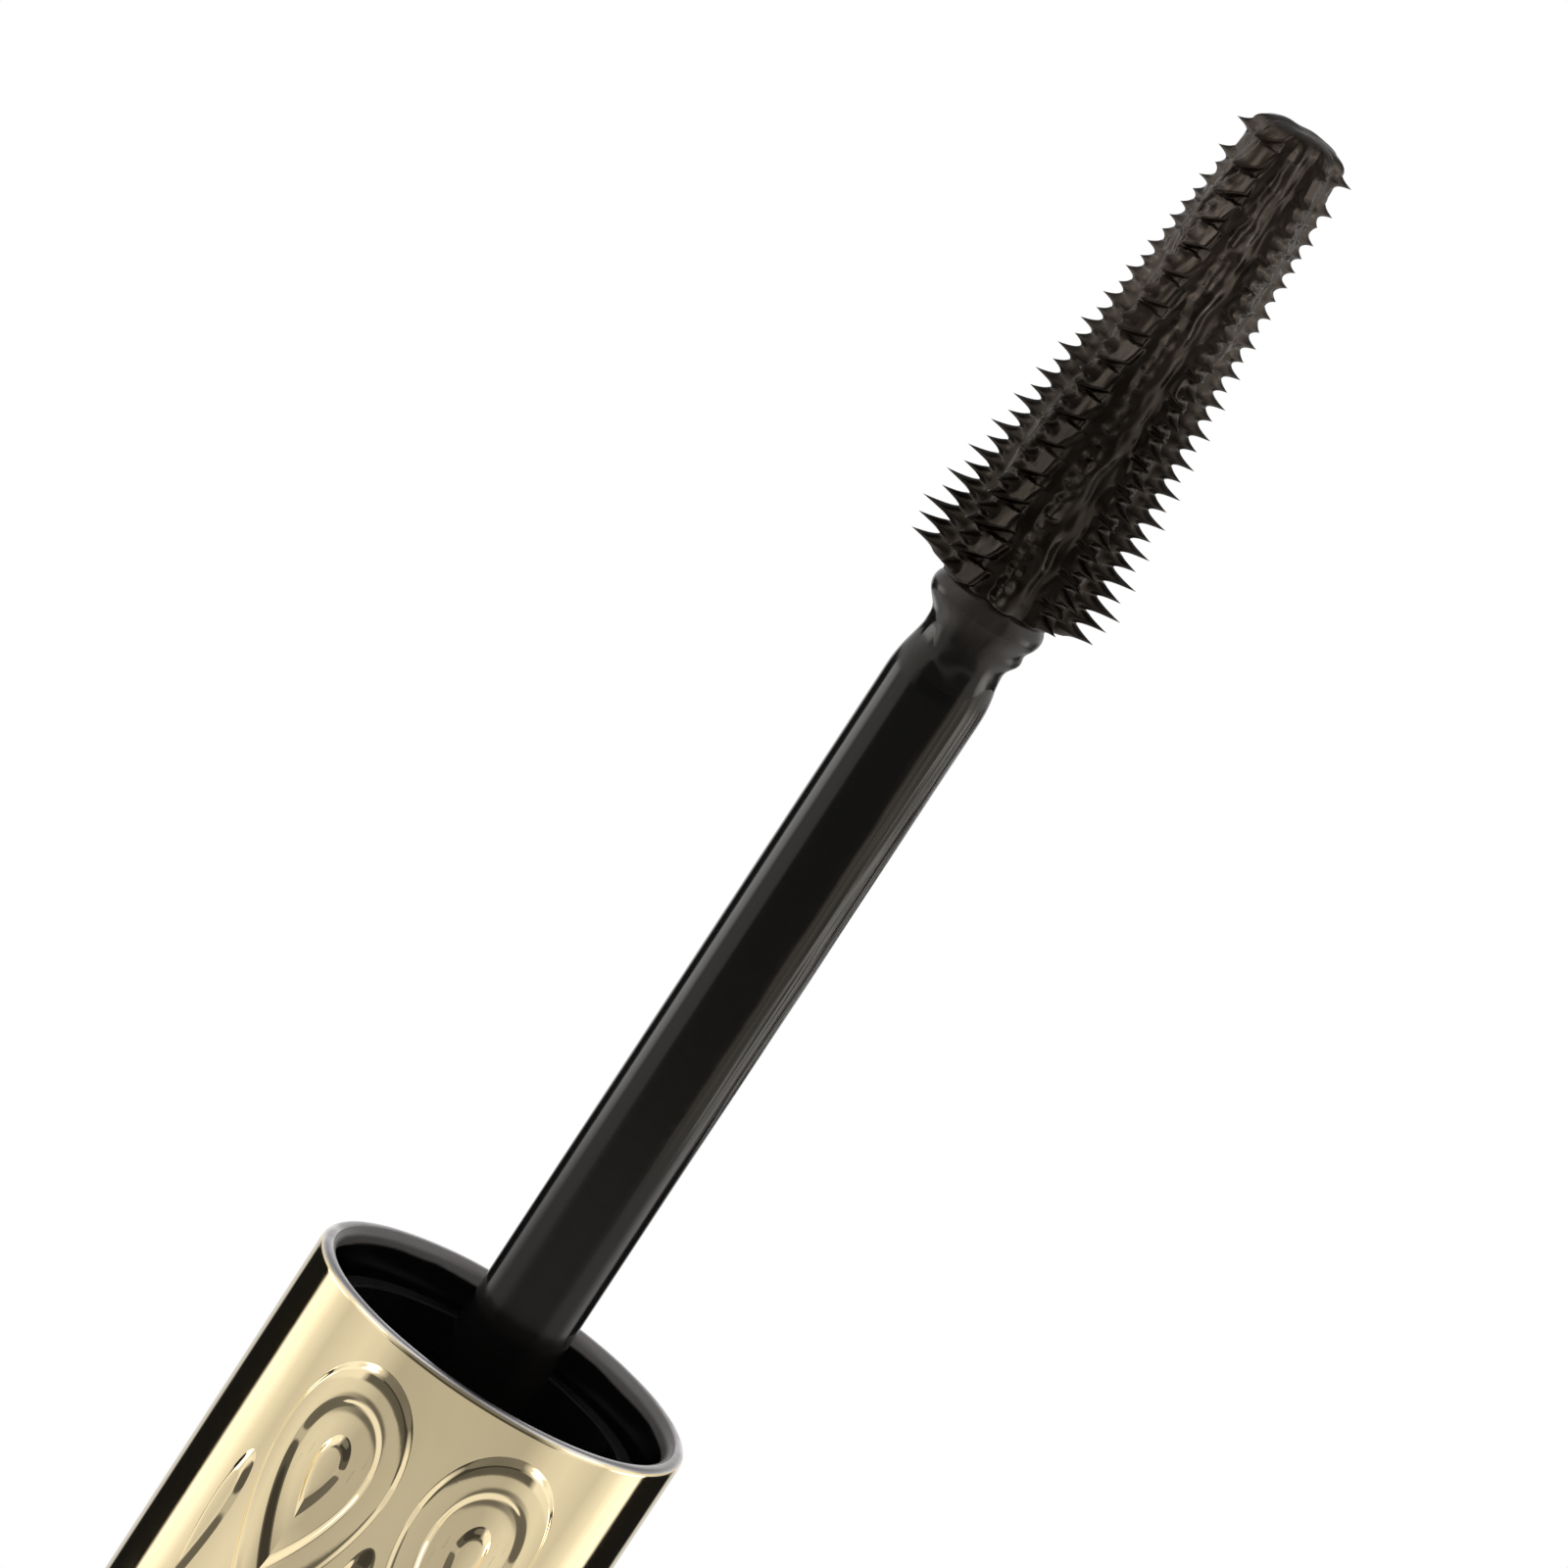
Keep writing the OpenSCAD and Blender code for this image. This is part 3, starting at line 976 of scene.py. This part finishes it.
@dataclass
class Brush:
    """Moulded brush heavy with product: collar, rows of long and short thorns and a blunt coated tip.

    Places along the wand are millimetres below the cap's rim, and the three curves give a radius
    at such a place. The ripples roughen the smear, the caked face and the thorns, in that order.
    """

    rim: float
    seat: float = 36.6
    reach: float = 61.9
    waist: float = 1.94
    collar: float = 2.77
    collar_at: float = 37.75
    spigot: float = 1.2
    spigot_length: float = 6.0
    smear_length: float = 6.0
    zone_start: float = 38.356
    pitch: float = 0.704
    rows: int = 8
    per_row: int = 32
    long_tips: Curve = ((38.9, 4.46), (40.3, 4.92), (44.6, 4.30), (50.2, 3.60), (55.9, 2.88),
                        (58.7, 2.52), (60.2, 2.15))
    short_tips: Curve = ((39.7, 4.66), (44.0, 4.09), (49.5, 3.40), (55.2, 2.79), (60.9, 2.80))
    valleys: Curve = ((38.3, 3.32), (40.4, 3.37), (43.9, 3.19), (47.8, 2.94), (51.7, 2.66),
                      (55.6, 2.45), (59.5, 2.21), (61.5, 2.08))
    underside: Curve = ((1.15, 2.8), (1.9, 2.86), (2.35, 2.5), (2.6, 1.7))
    face_at: float = 1.5*np.pi
    bridge_at: float = 1.47*np.pi
    blob_at: float = 1.02*np.pi
    drift: float = 0.0108
    smear_columns: int = 220
    row_columns: int = 30
    thorn_lines: int = 12
    tip_lines: int = 18
    trim: int = 7
    ragged: Ripple = Ripple(31, 30, 12, 0.5)
    blob: Ripple = Ripple(23, 20, 6, 0.4)
    edges: Ripple = Ripple(31, 60, 12, 0.6)
    breaks: Ripple = Ripple(45, 30, 6, 0.35)
    spacing: Ripple = Ripple(37, 20, 4, 0.12)
    clots: Ripple = Ripple(43, 60, 20, 0.7)
    strands: Ripple = Ripple(41, 40, 26, 0.2)
    lumps: Ripple = Ripple(5, 60, 17, 0.26)
    patches: Ripple = Ripple(9, 30, 5, 0.10)
    grain: Ripple = Ripple(13, 60, 40, 0.6)
    crumbs: Ripple = Ripple(21, 60, 24, 0.7)
    dents: Ripple = Ripple(17, 16, 4, 0.5)
    scale_seed: int = 19
    thorn_seed: int = 7

    def core(self, finish: Finishes) -> None:
        """Turn the bare core: spigot, collar, tapered core and tip, under the product."""
        seat, start = self.rim - self.seat, self.rim - self.zone_start
        tip, top = self.rim - self.reach + 0.6, seat + self.spigot_length
        corners = [(0.0, tip, 0.0), (1.2, tip, 0.3), (1.3, tip + 0.9, 0.2), (1.9, start - 0.5, 0.2),
                   (2.3, start, 0.2), (self.collar - 0.15, self.rim - self.collar_at, 0.6),
                   (self.waist - 0.05, seat - 0.05, 0.2), (self.spigot, seat - 0.04, 0.01),
                   (self.spigot, top, 0.1), (0.0, top, 0.0)]
        settle(lathe("brush_core_bare", corners, 8, 128), Body.APPLICATOR, [finish.smear],
               ["brush_core"])

    def smear(self, stem: Stem, finish: Finishes) -> None:
        """Wipe product over the collar and the stem's end.

        The outline follows the stem, dips at the waist and swells over the collar. Its thickness
        runs out below the stem's skin with a ragged edge, sooner on the clean side. On the face it
        bridges the waist and flares as a cube up to the bristles, and a lump sits in the waist on
        the far side of the turn.

        Args:
            stem: stem whose outline the smear follows.
            finish: finishes.
        """
        seat, start = self.rim - self.seat, self.rim - self.zone_start
        tail = stem.outline()
        tail = tail[(tail[:, 1] > seat + 0.3) & (tail[:, 1] < seat + 4.0)]
        corners = [(1.7, start - 0.7, 0.0), (2.36, start - 0.1, 0.3),
                   (self.collar, self.rim - self.collar_at, 0.75), (self.waist, seat - 0.2, 0.8),
                   (self.waist, seat + 0.28, 0.0)]
        end = [(stem.radius, seat + self.smear_length)]
        profile = evened(np.concatenate([rounded_profile(corners, 12), tail, end]), 0.05)
        angle, up = spokes(self.smear_columns), profile[:, 1:] - seat
        clean = 1.2*smooth((np.cos(angle) - 0.2)/0.5)
        length_ramp = mix(0.035, -0.05, smooth((up + 0.25*self.ragged.at(angle, up) + clean - 0.3)/1.6))
        flare = mix(stem.radius, self.collar + 0.03, np.clip((2.2 - up)/3.35, 0.0, 1.0)**3)
        bridge = np.where(up > -self.underside[0][0], flare, follow(self.underside, -up))
        fill = bell(wrapped(angle - self.bridge_at)/0.85)*np.clip(bridge - profile[:, :1], 0.0, None)
        lump = bell(wrapped(angle - self.blob_at)/0.6)*bell((up + 0.02)/0.42)
        swell = length_ramp + fill + lump*(0.42 + 0.03*self.blob.at(angle, up))
        grid = plugged(turned(profile, self.smear_columns, swell))
        settle(surface("collar_smear", grid), Body.APPLICATOR, [finish.smear])

    def caked(self, aside: Array, run: Array, valley: Array, share: Array) -> Array:
        """Radius of the caked face, where product hides the rows.

        Four bands run along the brush on a floor below the valley line: flat scales on both sides, a
        streak in the middle and a thin rope between. A band is a plateau in the angle whose edges
        wander. A scale steps out at its lower edge, which leans upwards towards the middle of the
        face, and sinks in a line to the next one, two thorns further on, while it moves inwards.
        Its top is flat: the chord R*cos(half)/cos(angle from its middle).

        Args:
            aside: angle from the middle of the face.
            run: millimetres from the start of the bristles.
            valley: radius of the valley line.
            share: share of the bristled length.

        Returns:
            The radius.
        """
        wander = aside + 0.04*self.edges.at(aside, run)
        broken = smooth(0.5 + 0.6*self.breaks.at(aside, run))
        count = run/(2.0*self.pitch) + 0.05*self.spacing.at(aside, run)
        phase = np.mod(count, 1.0)
        tilts = np.random.default_rng(self.scale_seed).normal(size=(2, 64))
        tilt = tilts[:, np.floor(count).astype(int) % 64]
        lead = 0.32*np.clip((0.80 - np.abs(aside))/0.42, 0.0, 1.0)
        scale = smooth((phase - lead)/0.09)*(1.0 - 0.62*phase)*(1.0 + 0.12*tilt[0])
        bands = ((0.66 - 0.10*phase, 0.26, 0.10), (-0.15, 0.16, 0.22), (0.26, 0.02, 0.2),
                 (-0.8, 0.2, 0.14))
        left, streak, rope, right = (smooth(0.5 + (half - np.abs(wander - at))/edge)
                                     for at, half, edge in bands)
        off = np.clip(aside - 0.62, -0.3, 0.3)
        plane = valley*(np.cos(0.25)/np.cos(off) - 1.0 + 0.10*tilt[1]*off)
        relief = left*(0.56*scale + plane) + streak*(0.14 + 0.18*broken) + 0.06*rope + 0.40*right*scale
        rough = mix(1.0, 1.5, smooth((share - 0.45)/0.2))*(1.0 - 0.85*left)*(1.0 - 0.5*right)
        bumps = rough*(0.028*self.clots.at(aside, run) + 0.012*self.strands.at(aside, run))
        return valley - mix(0.54, 0.32, share) + mix(1.15, 0.8, share)*relief + bumps

    def lines(self) -> tuple[Array, Array, Array]:
        """Lay the lines of the bristles, and those of the tip past the last thorn.

        Returns:
            Columns of the millimetres along the bristles, of the millimetres past them, and of the
            share that the tip leaves of the radius, a power of the cosine.
        """
        count = (self.per_row + 1)*self.thorn_lines + 1 - self.trim
        along = np.arange(count)*self.pitch/self.thorn_lines
        bend = np.linspace(0.0, 0.5*np.pi, self.tip_lines + 1)[1:]
        past = np.sin(bend)*(self.reach - self.zone_start - along[-1])
        length = np.concatenate([along, np.full(bend.size, along[-1])])
        beyond = np.concatenate([np.zeros(count), past])
        fall = np.concatenate([np.ones(count), np.cos(bend)**0.55])
        return length[:, None], beyond[:, None], fall[:, None]

    def thorns(self, finish: Finishes) -> None:
        """Build the coated bristles and tip as one radius field over angle and length.

        Long and short thorns stand in turn along each row. Side runs from 0 on a row to 1 halfway to
        the next; along and across are the millimetres from the nearest thorn. Between the rows the
        radius sinks from the valley line to the groove as a cosine. A thorn is a blade that stands
        across the row: its height times (1 - along/reach)^bite times (1 - across/width)^1.15, with a
        shorter reach on its lower side. Product fills the grooves in patches and towards the tip. On
        the caked face the thorns are slim, those in the middle are wiped down and those among the
        left scales stand lower. Past the last thorn the radius falls to the axis, which closes the
        tip, and the brush drifts a little aside.
        """
        angle = spokes(self.rows*self.row_columns)
        length, beyond, fall = self.lines()
        station, run, share = self.zone_start + length, length + beyond, length/length[-1]
        aside = wrapped(angle - self.face_at)
        face = smooth((1.05 - np.abs(aside))/0.25)
        patch = self.patches.at(angle, run)
        wiped = np.clip(bell(aside/mix(0.30, 0.55, share))*(0.85 + 0.2*patch), 0.0, 0.95)
        fill = np.clip(0.10 + 0.22*patch + 0.5*smooth((station - 49.0)/9.0), 0.0, 0.95)
        turn = angle*self.rows/TAU
        row = np.round(turn)
        side = 2.0*np.abs(turn - row)
        place = length/self.pitch - 1.0
        m = np.clip(np.round(place), 0, self.per_row - 1).astype(int)
        k = (row % self.rows).astype(int)
        vary, twist, slip = np.random.default_rng(self.thorn_seed).normal(
            size=(3, self.rows, self.per_row))[:, k, m]
        long = m % 2 == 0
        valley = follow(self.valleys, station)
        spot = self.zone_start + (m + 1.0)*self.pitch
        tip = np.where(long, follow(self.long_tips, spot), follow(self.short_tips, spot))
        height = np.maximum(tip - valley, 0.0)*(1.02 - 0.03*np.abs(vary))*(1.0 - 0.85*wiped)
        height = height*(1.0 - 0.4*bell((aside - 0.7)/0.25))
        along, across = (place - m)*self.pitch, side*np.pi/self.rows*valley
        width = mix(np.where(long, 1.0, 0.75), 0.45, face)
        bite = mix(1.7, 2.3, smooth(2.0*share))
        blade = np.clip(1.0 - np.abs(along)/np.where(along < 0.0, 0.35, 0.46), 0.0, 1.0)**bite
        tooth = blade*np.clip(1.0 - across/width, 0.0, 1.0)**1.15
        ridged = valley - mix(0.80, 0.42, share)*(1.0 - fill)*(0.5 - 0.5*np.cos(np.pi*side))
        coat = 0.032*self.lumps.at(angle, run) + 0.018*self.crumbs.at(angle, run)
        product = coat*(1.0 - 0.8*face) + 0.008*self.grain.at(angle, run)
        radius = mix(ridged, self.caked(aside, run, valley, share), face)
        radius = radius + height*tooth + (1.0 - tooth)*product
        even = radius.mean(axis=1, keepdims=True)
        radius = (even + (mix(2.2, radius, smooth(length/0.40)) - even)*fall**2.5)*fall
        dent = 0.12*fall*(1.0 - fall)*self.dents.at(angle, 2.2*fall)
        reach = station + beyond + 0.03*slip*tooth*fall + dent
        grid = polar(radius, angle + 0.035*twist*tooth/np.maximum(radius, 1.0), self.rim - reach)
        grid[..., 0] -= self.drift*run
        settle(surface("brush_bristles", plugged(grid[::-1], first=False)), Body.APPLICATOR,
               [finish.product], ["bristles"])

    def build(self, stem: Stem, finish: Finishes) -> None:
        """Make the brush's pieces in order, on the stem."""
        self.core(finish)
        self.smear(stem, finish)
        self.thorns(finish)


@dataclass
class Bottle:
    """Gold sleeve, base plug, black vial with its threaded neck, and the wiper in the neck."""

    height: float
    neck_top: float
    radius: float = 9.0
    sleeve_wall: float = 0.8
    shoulder: float = 1.2
    base: float = 1.6
    hollow: float = 0.25
    ring: float = 0.14
    fit: float = 0.1
    vial_wall: float = 1.0
    vial_floor: float = 1.2
    neck: float = 6.0
    bead: float = 0.3
    bore: float = 4.75
    thread: float = 0.4
    thread_lift: float = 3.4
    wiper_low: float = 72.5
    wiper_cone: float = 4.3
    lip: float = 2.4
    lip_wall: float = 0.5
    columns: int = 256

    def sleeve(self, finish: Finishes) -> None:
        """Turn the sleeve's ring section: gold outside with a satin shoulder, bare black inside."""
        inner, hole, h = self.radius - self.sleeve_wall, self.neck + self.fit, self.height
        under = h - self.shoulder
        corners = [(inner, 0.5*h, 0.0), (inner, 0.0, 0.15), (self.radius, 0.0, 0.45),
                   (self.radius, h, 0.5), (hole, h, 0.15), (hole, under, 0.1), (inner, under, 0.3),
                   (inner, 0.5*h, 0.0)]
        profile = rounded_profile(corners, 10)
        r, z = (0.5*(profile[1:] + profile[:-1])).T
        inside = (r < inner + 0.03) & (z < h - 0.5*self.shoulder)
        bands = np.select([inside, z > h - 0.02], [1, 2], 0)
        piece = surface("bottle_sleeve_skin", turned(profile, self.columns), True, bands)
        finishes = [finish.gold, finish.black, finish.satin]
        settle(piece, Body.BOTTLE, finishes, ["bottle_sleeve"])

    def plug(self, finish: Finishes) -> None:
        """Turn the base plug with its shallow recess and a raised ring in it."""
        r, deep = self.radius - self.sleeve_wall - self.fit, self.hollow
        corners = [(0.0, deep, 0.0), (r - 3.4, deep, 0.05), (r - 3.3, self.ring, 0.05),
                   (r - 2.9, self.ring, 0.05), (r - 2.8, deep, 0.05), (r - 1.85, deep, 0.05),
                   (r - 1.75, 0.0, 0.08), (r, 0.0, 0.3), (r, self.base, 0.15), (0.0, self.base, 0.0)]
        settle(lathe("base_plug_disc", corners, 6, 192), Body.BOTTLE, [finish.black],
               ["base_plug"])

    def vial(self, finish: Finishes) -> None:
        """Turn the vial and its neck, and carry the screw thread round the neck."""
        low, outer, h = foot_of("vial"), self.radius - self.sleeve_wall - self.fit, self.height
        inner, floor, top = outer - self.vial_wall, low + self.vial_floor, h - self.shoulder - 0.05
        corners = [(0.0, low, 0.0), (outer, low, 1.0), (outer, top, 0.1), (self.neck, top, 0.1),
                   (self.neck, h + 0.15, 0.1), (self.neck + self.bead, h + 0.45, 0.2),
                   (self.neck, h + 0.8, 0.1), (self.neck, self.neck_top, 0.3),
                   (self.bore, self.neck_top, 0.1), (self.bore, top - 1.0, 0.4),
                   (inner, top - 2.6, 0.4), (inner, floor, 1.0), (0.0, floor, 0.0)]
        settle(lathe("vial_body", corners, 8, self.columns), Body.BOTTLE, [finish.black],
               ["vial"])
        ridge = Thread(self.neck, self.thread, h + self.thread_lift)
        settle(surface("neck_thread", ridge.points(), False), Body.BOTTLE, [finish.black])

    def wiper(self, finish: Finishes) -> None:
        """Turn the wiper: flange on the neck, tube, cone and the lip that strips the wand."""
        low, top, seat = self.wiper_low, top_of("wiper"), self.neck_top + 0.05
        cone, outer, flange = low + self.wiper_cone, self.bore - 0.05, self.neck - 0.1
        lip, bore = self.lip + self.lip_wall, outer - self.lip_wall
        corners = [(self.lip, low + 0.45, 0.0), (self.lip, low, 0.15), (lip, low, 0.15),
                   (lip, low + 0.9, 0.2), (outer, cone, 0.5), (outer, seat, 0.1), (flange, seat, 0.1),
                   (flange, top, 0.25), (outer - 0.2, top, 0.15), (bore, top - 0.4, 0.3),
                   (bore, cone, 0.6), (self.lip, low + 0.9, 0.3), (self.lip, low + 0.45, 0.0)]
        settle(lathe("wiper_insert", corners, 6, 192), Body.BOTTLE, [finish.rubber],
               ["wiper"])

    def build(self, finish: Finishes) -> None:
        """Make the bottle's pieces in order."""
        self.sleeve(finish)
        self.plug(finish)
        self.vial(finish)
        self.wiper(finish)


@dataclass(frozen=True)
class TentLight:
    """Light of the tent from one height up: where it fades in, and degrees with their levels."""

    start: float
    full: float
    stops: Curve


@dataclass(frozen=True)
class Lamp:
    """Square soft lamp: its name, its place and size in metres and its power in watts."""

    name: str
    place: tuple[float, float, float]
    size: float
    power: float


@dataclass
class Studio:
    """White studio: pale floor, large soft lamps, a reflecting tent and the camera.

    The tent's lights come in order of height, from the low one at its foot. Seen from the camera,
    the wand mirrors the third of those above it, and the cap mirrors the fourth.
    """

    rim: float
    tilt: float = 13.0
    roll: float = 33.2
    distance: float = 500.0
    view_width: float = 65.3
    sensor: float = 36.0
    centre_along: float = 26.9
    centre_aside: float = 3.1
    floor_half: float = 6000.0
    floor_near: float = 0.14
    floor_far: float = 0.42
    tent_radius: float = 450.0
    tent_top: float = 1000.0
    tent_foot: float = -700.0
    tent_columns: int = 180
    low_light: Curve = ((0, 0.18), (45, 0.22), (62, 0.85), (112, 0.95), (124, 0.22), (150, 0.20),
                        (180, 0.22))
    lights: tuple[TentLight, ...] = (
        TentLight(-160.0, -110.0, ((0, 0.18), (45, 0.22), (60, 0.85), (65, 2.6), (84, 2.6), (90, 0.95),
                                   (112, 0.95), (124, 0.22), (150, 0.20), (180, 0.22))),
        TentLight(0.0, 30.0, ((0, 0.05), (40, 0.06), (62, 1.0), (80, 1.1), (110, 1.1), (135, 0.7),
                              (180, 0.9))),
        TentLight(165.0, 185.0, ((0, 0.10), (52, 0.12), (57, 0.98), (80, 0.92), (89, 0.66), (98, 2.6),
                                 (117, 2.7), (121, 0.02), (148, 0.02), (156, 0.9), (180, 0.95))),
        TentLight(264.0, 273.0, ((0, 0.55), (40, 0.50), (56, 0.78), (67, 0.84), (88, 0.68), (100, 0.95),
                                 (107, 1.30), (119, 1.42), (122, 0.010), (155, 0.010), (159, 0.62),
                                 (180, 0.80))),
        TentLight(322.0, 338.0, ((0, 0.14), (45, 0.16), (70, 0.9), (120, 1.0), (140, 0.5), (180, 0.8))))
    lamps: tuple[Lamp, ...] = (Lamp("lamp_left", (0.75, -0.45, 0.30), 0.7, 2.6),
                               Lamp("lamp_right", (-0.75, -0.35, 0.35), 0.7, 1.7),
                               Lamp("lamp_above", (0.0, 0.15, 1.0), 0.8, 2.4))
    lamps_aim: tuple[float, float, float] = (0.0, 0.0, 0.12)

    def camera(self) -> None:
        """Aim the camera up into the cap's mouth, rolled so that the brush points up and right.

        The image holds the wand's direction at the roll angle from upright, and the way back to
        the camera leans towards that direction by the tilt.
        """
        tilt, roll = np.radians(self.tilt), np.radians(self.roll)
        wand = Vector((0.0, 0.0, -1.0))
        back = Vector((0.0, -np.cos(tilt), -np.sin(tilt)))
        ahead = (wand - wand.dot(back)*back).normalized()
        aside = ahead.cross(back)
        right = np.sin(roll)*ahead + np.cos(roll)*aside
        up = np.cos(roll)*ahead - np.sin(roll)*aside
        target = Vector((0.0, 0.0, self.rim)) + self.centre_along*wand - self.centre_aside*aside
        lens = bpy.data.cameras.new("photo_camera")
        lens.sensor_width = self.sensor
        lens.lens = self.sensor*self.distance/self.view_width
        lens.clip_start = 0.02
        lens.clip_end = 30.0
        eye = bpy.data.objects.new("photo_camera", lens)
        bpy.context.scene.collection.objects.link(eye)
        place = (target + self.distance*back)*MM
        eye.matrix_world = Matrix.Translation(place) @ Matrix((right, up, back)).transposed().to_4x4()
        bpy.context.scene.camera = eye

    def world(self) -> None:
        """Set a white world for the camera and for reflections, and a softer one as fill light."""
        world = bpy.data.worlds.new("white_studio")
        bpy.context.scene.world = world
        g = Graph(world)
        white = g.node("Background", {"Color": (1.0, 1.0, 1.0, 1.0), "Strength": 1.0})
        fill = g.node("Background", {"Color": (0.98, 0.99, 1.0, 1.0), "Strength": 0.55})
        g.node("OutputWorld", {0: g.either(g.seen()[1], fill.outputs[0], white.outputs[0])})

    def floor(self) -> None:
        """Lay the pale floor under the bottle.

        It keeps shadows near by, turns plain white further out and is clear from below. The tent
        stands in for it in reflections.
        """
        x = np.linspace(-self.floor_half, self.floor_half, 3)
        grid = np.stack(np.broadcast_arrays(x[None, :], x[:, None], 0.0), axis=-1)
        piece = surface("floor", grid, False)
        r = Recipe("pale_floor")
        r.set(Base_Color=r.tint(r.noise(r.where, 3.0, 2.0), (0.86, 0.86, 0.86), (0.88, 0.88, 0.88)),
              Roughness=0.75, Specular_IOR_Level=0.2)
        camera, seen = r.seen()
        away = r.node("VectorMath", {0: r.where}, operation="LENGTH").outputs["Value"]
        fade = r.times(r.span(away, self.floor_near, self.floor_far), seen)
        below = r.times(r.node("NewGeometry").outputs["Backfacing"], camera)
        result = r.either(fade, r.shader.outputs[0], r.node("Emission").outputs[0])
        result = r.either(below, result, r.node("BsdfTransparent").outputs[0])
        r.feed(r.output.inputs[0], result)
        piece.data.materials.append(r.material)
        piece.visible_glossy = False

    def tent(self) -> None:
        """Stand a round tent about the tube that only reflections see: panels, and dark flags behind.

        The tent's light follows the angle from the camera's side and the height. At the heights
        that the wand and the cap mirror it has a dim front, bright sides that grow brightest at
        their far edges, a dark flag on each side at the back and white again behind.
        """
        profile = np.array([(0.0, self.tent_foot), (self.tent_radius, self.tent_foot),
                            (self.tent_radius, self.tent_top)])
        grid = polar(profile[:, :1], spokes(self.tent_columns) - 0.5*np.pi, profile[:, 1:])
        piece = surface("light_tent", grid)
        r = Recipe("light_tent")
        turn = r.times(r.math("PINGPONG", r.part(r.uv, 0), 0.5), 2.0)
        height = r.math("SUBTRACT", r.part(r.uv, 1), self.tent_radius - self.tent_foot)
        level = r.ramp(turn, self.low_light)
        for light in self.lights:
            level = r.blend(r.span(height, light.start, light.full), level, r.ramp(turn, light.stops))
        r.set(Base_Color=(0.0, 0.0, 0.0, 1.0), Specular_IOR_Level=0.0, Emission_Color=level,
              Emission_Strength=1.0)
        piece.data.materials.append(r.material)
        piece.visible_camera = False
        piece.visible_diffuse = False
        piece.visible_shadow = False
        piece.visible_transmission = False

    def hang(self, lamp: Lamp) -> None:
        """Hang one lamp, turned to the tube and too soft to leave hard edges."""
        light = bpy.data.lights.new(lamp.name, "AREA")
        light.shape = "SQUARE"
        light.size = lamp.size
        light.energy = lamp.power
        held = bpy.data.objects.new(lamp.name, light)
        held.location = lamp.place
        aim = Vector(self.lamps_aim) - Vector(lamp.place)
        held.rotation_euler = aim.to_track_quat("-Z", "Y").to_euler()
        held.visible_camera = False
        held.visible_glossy = False
        bpy.context.scene.collection.objects.link(held)

    def build(self) -> None:
        """Set up the studio."""
        self.camera()
        self.world()
        self.floor()
        self.tent()
        for lamp in self.lamps:
            self.hang(lamp)
        bpy.context.scene.view_settings.view_transform = "Standard"


def main() -> None:
    """Build the tube's sub-assemblies in order and set up the studio."""
    logging.basicConfig(level=logging.INFO, format="%(name)s %(message)s")
    rim = foot_of("cap_shell")
    finish = Finishes.make(rim)
    Studio(rim).build()
    Cap(rim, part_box("cap_shell")[1].x/MM, top_of("cap_shell") - rim).build(finish)
    stem = Stem(rim)
    stem.build(finish)
    Brush(rim).build(stem, finish)
    Bottle(top_of("bottle_sleeve"), top_of("vial")).build(finish)


if __name__ == "__main__":
    main()
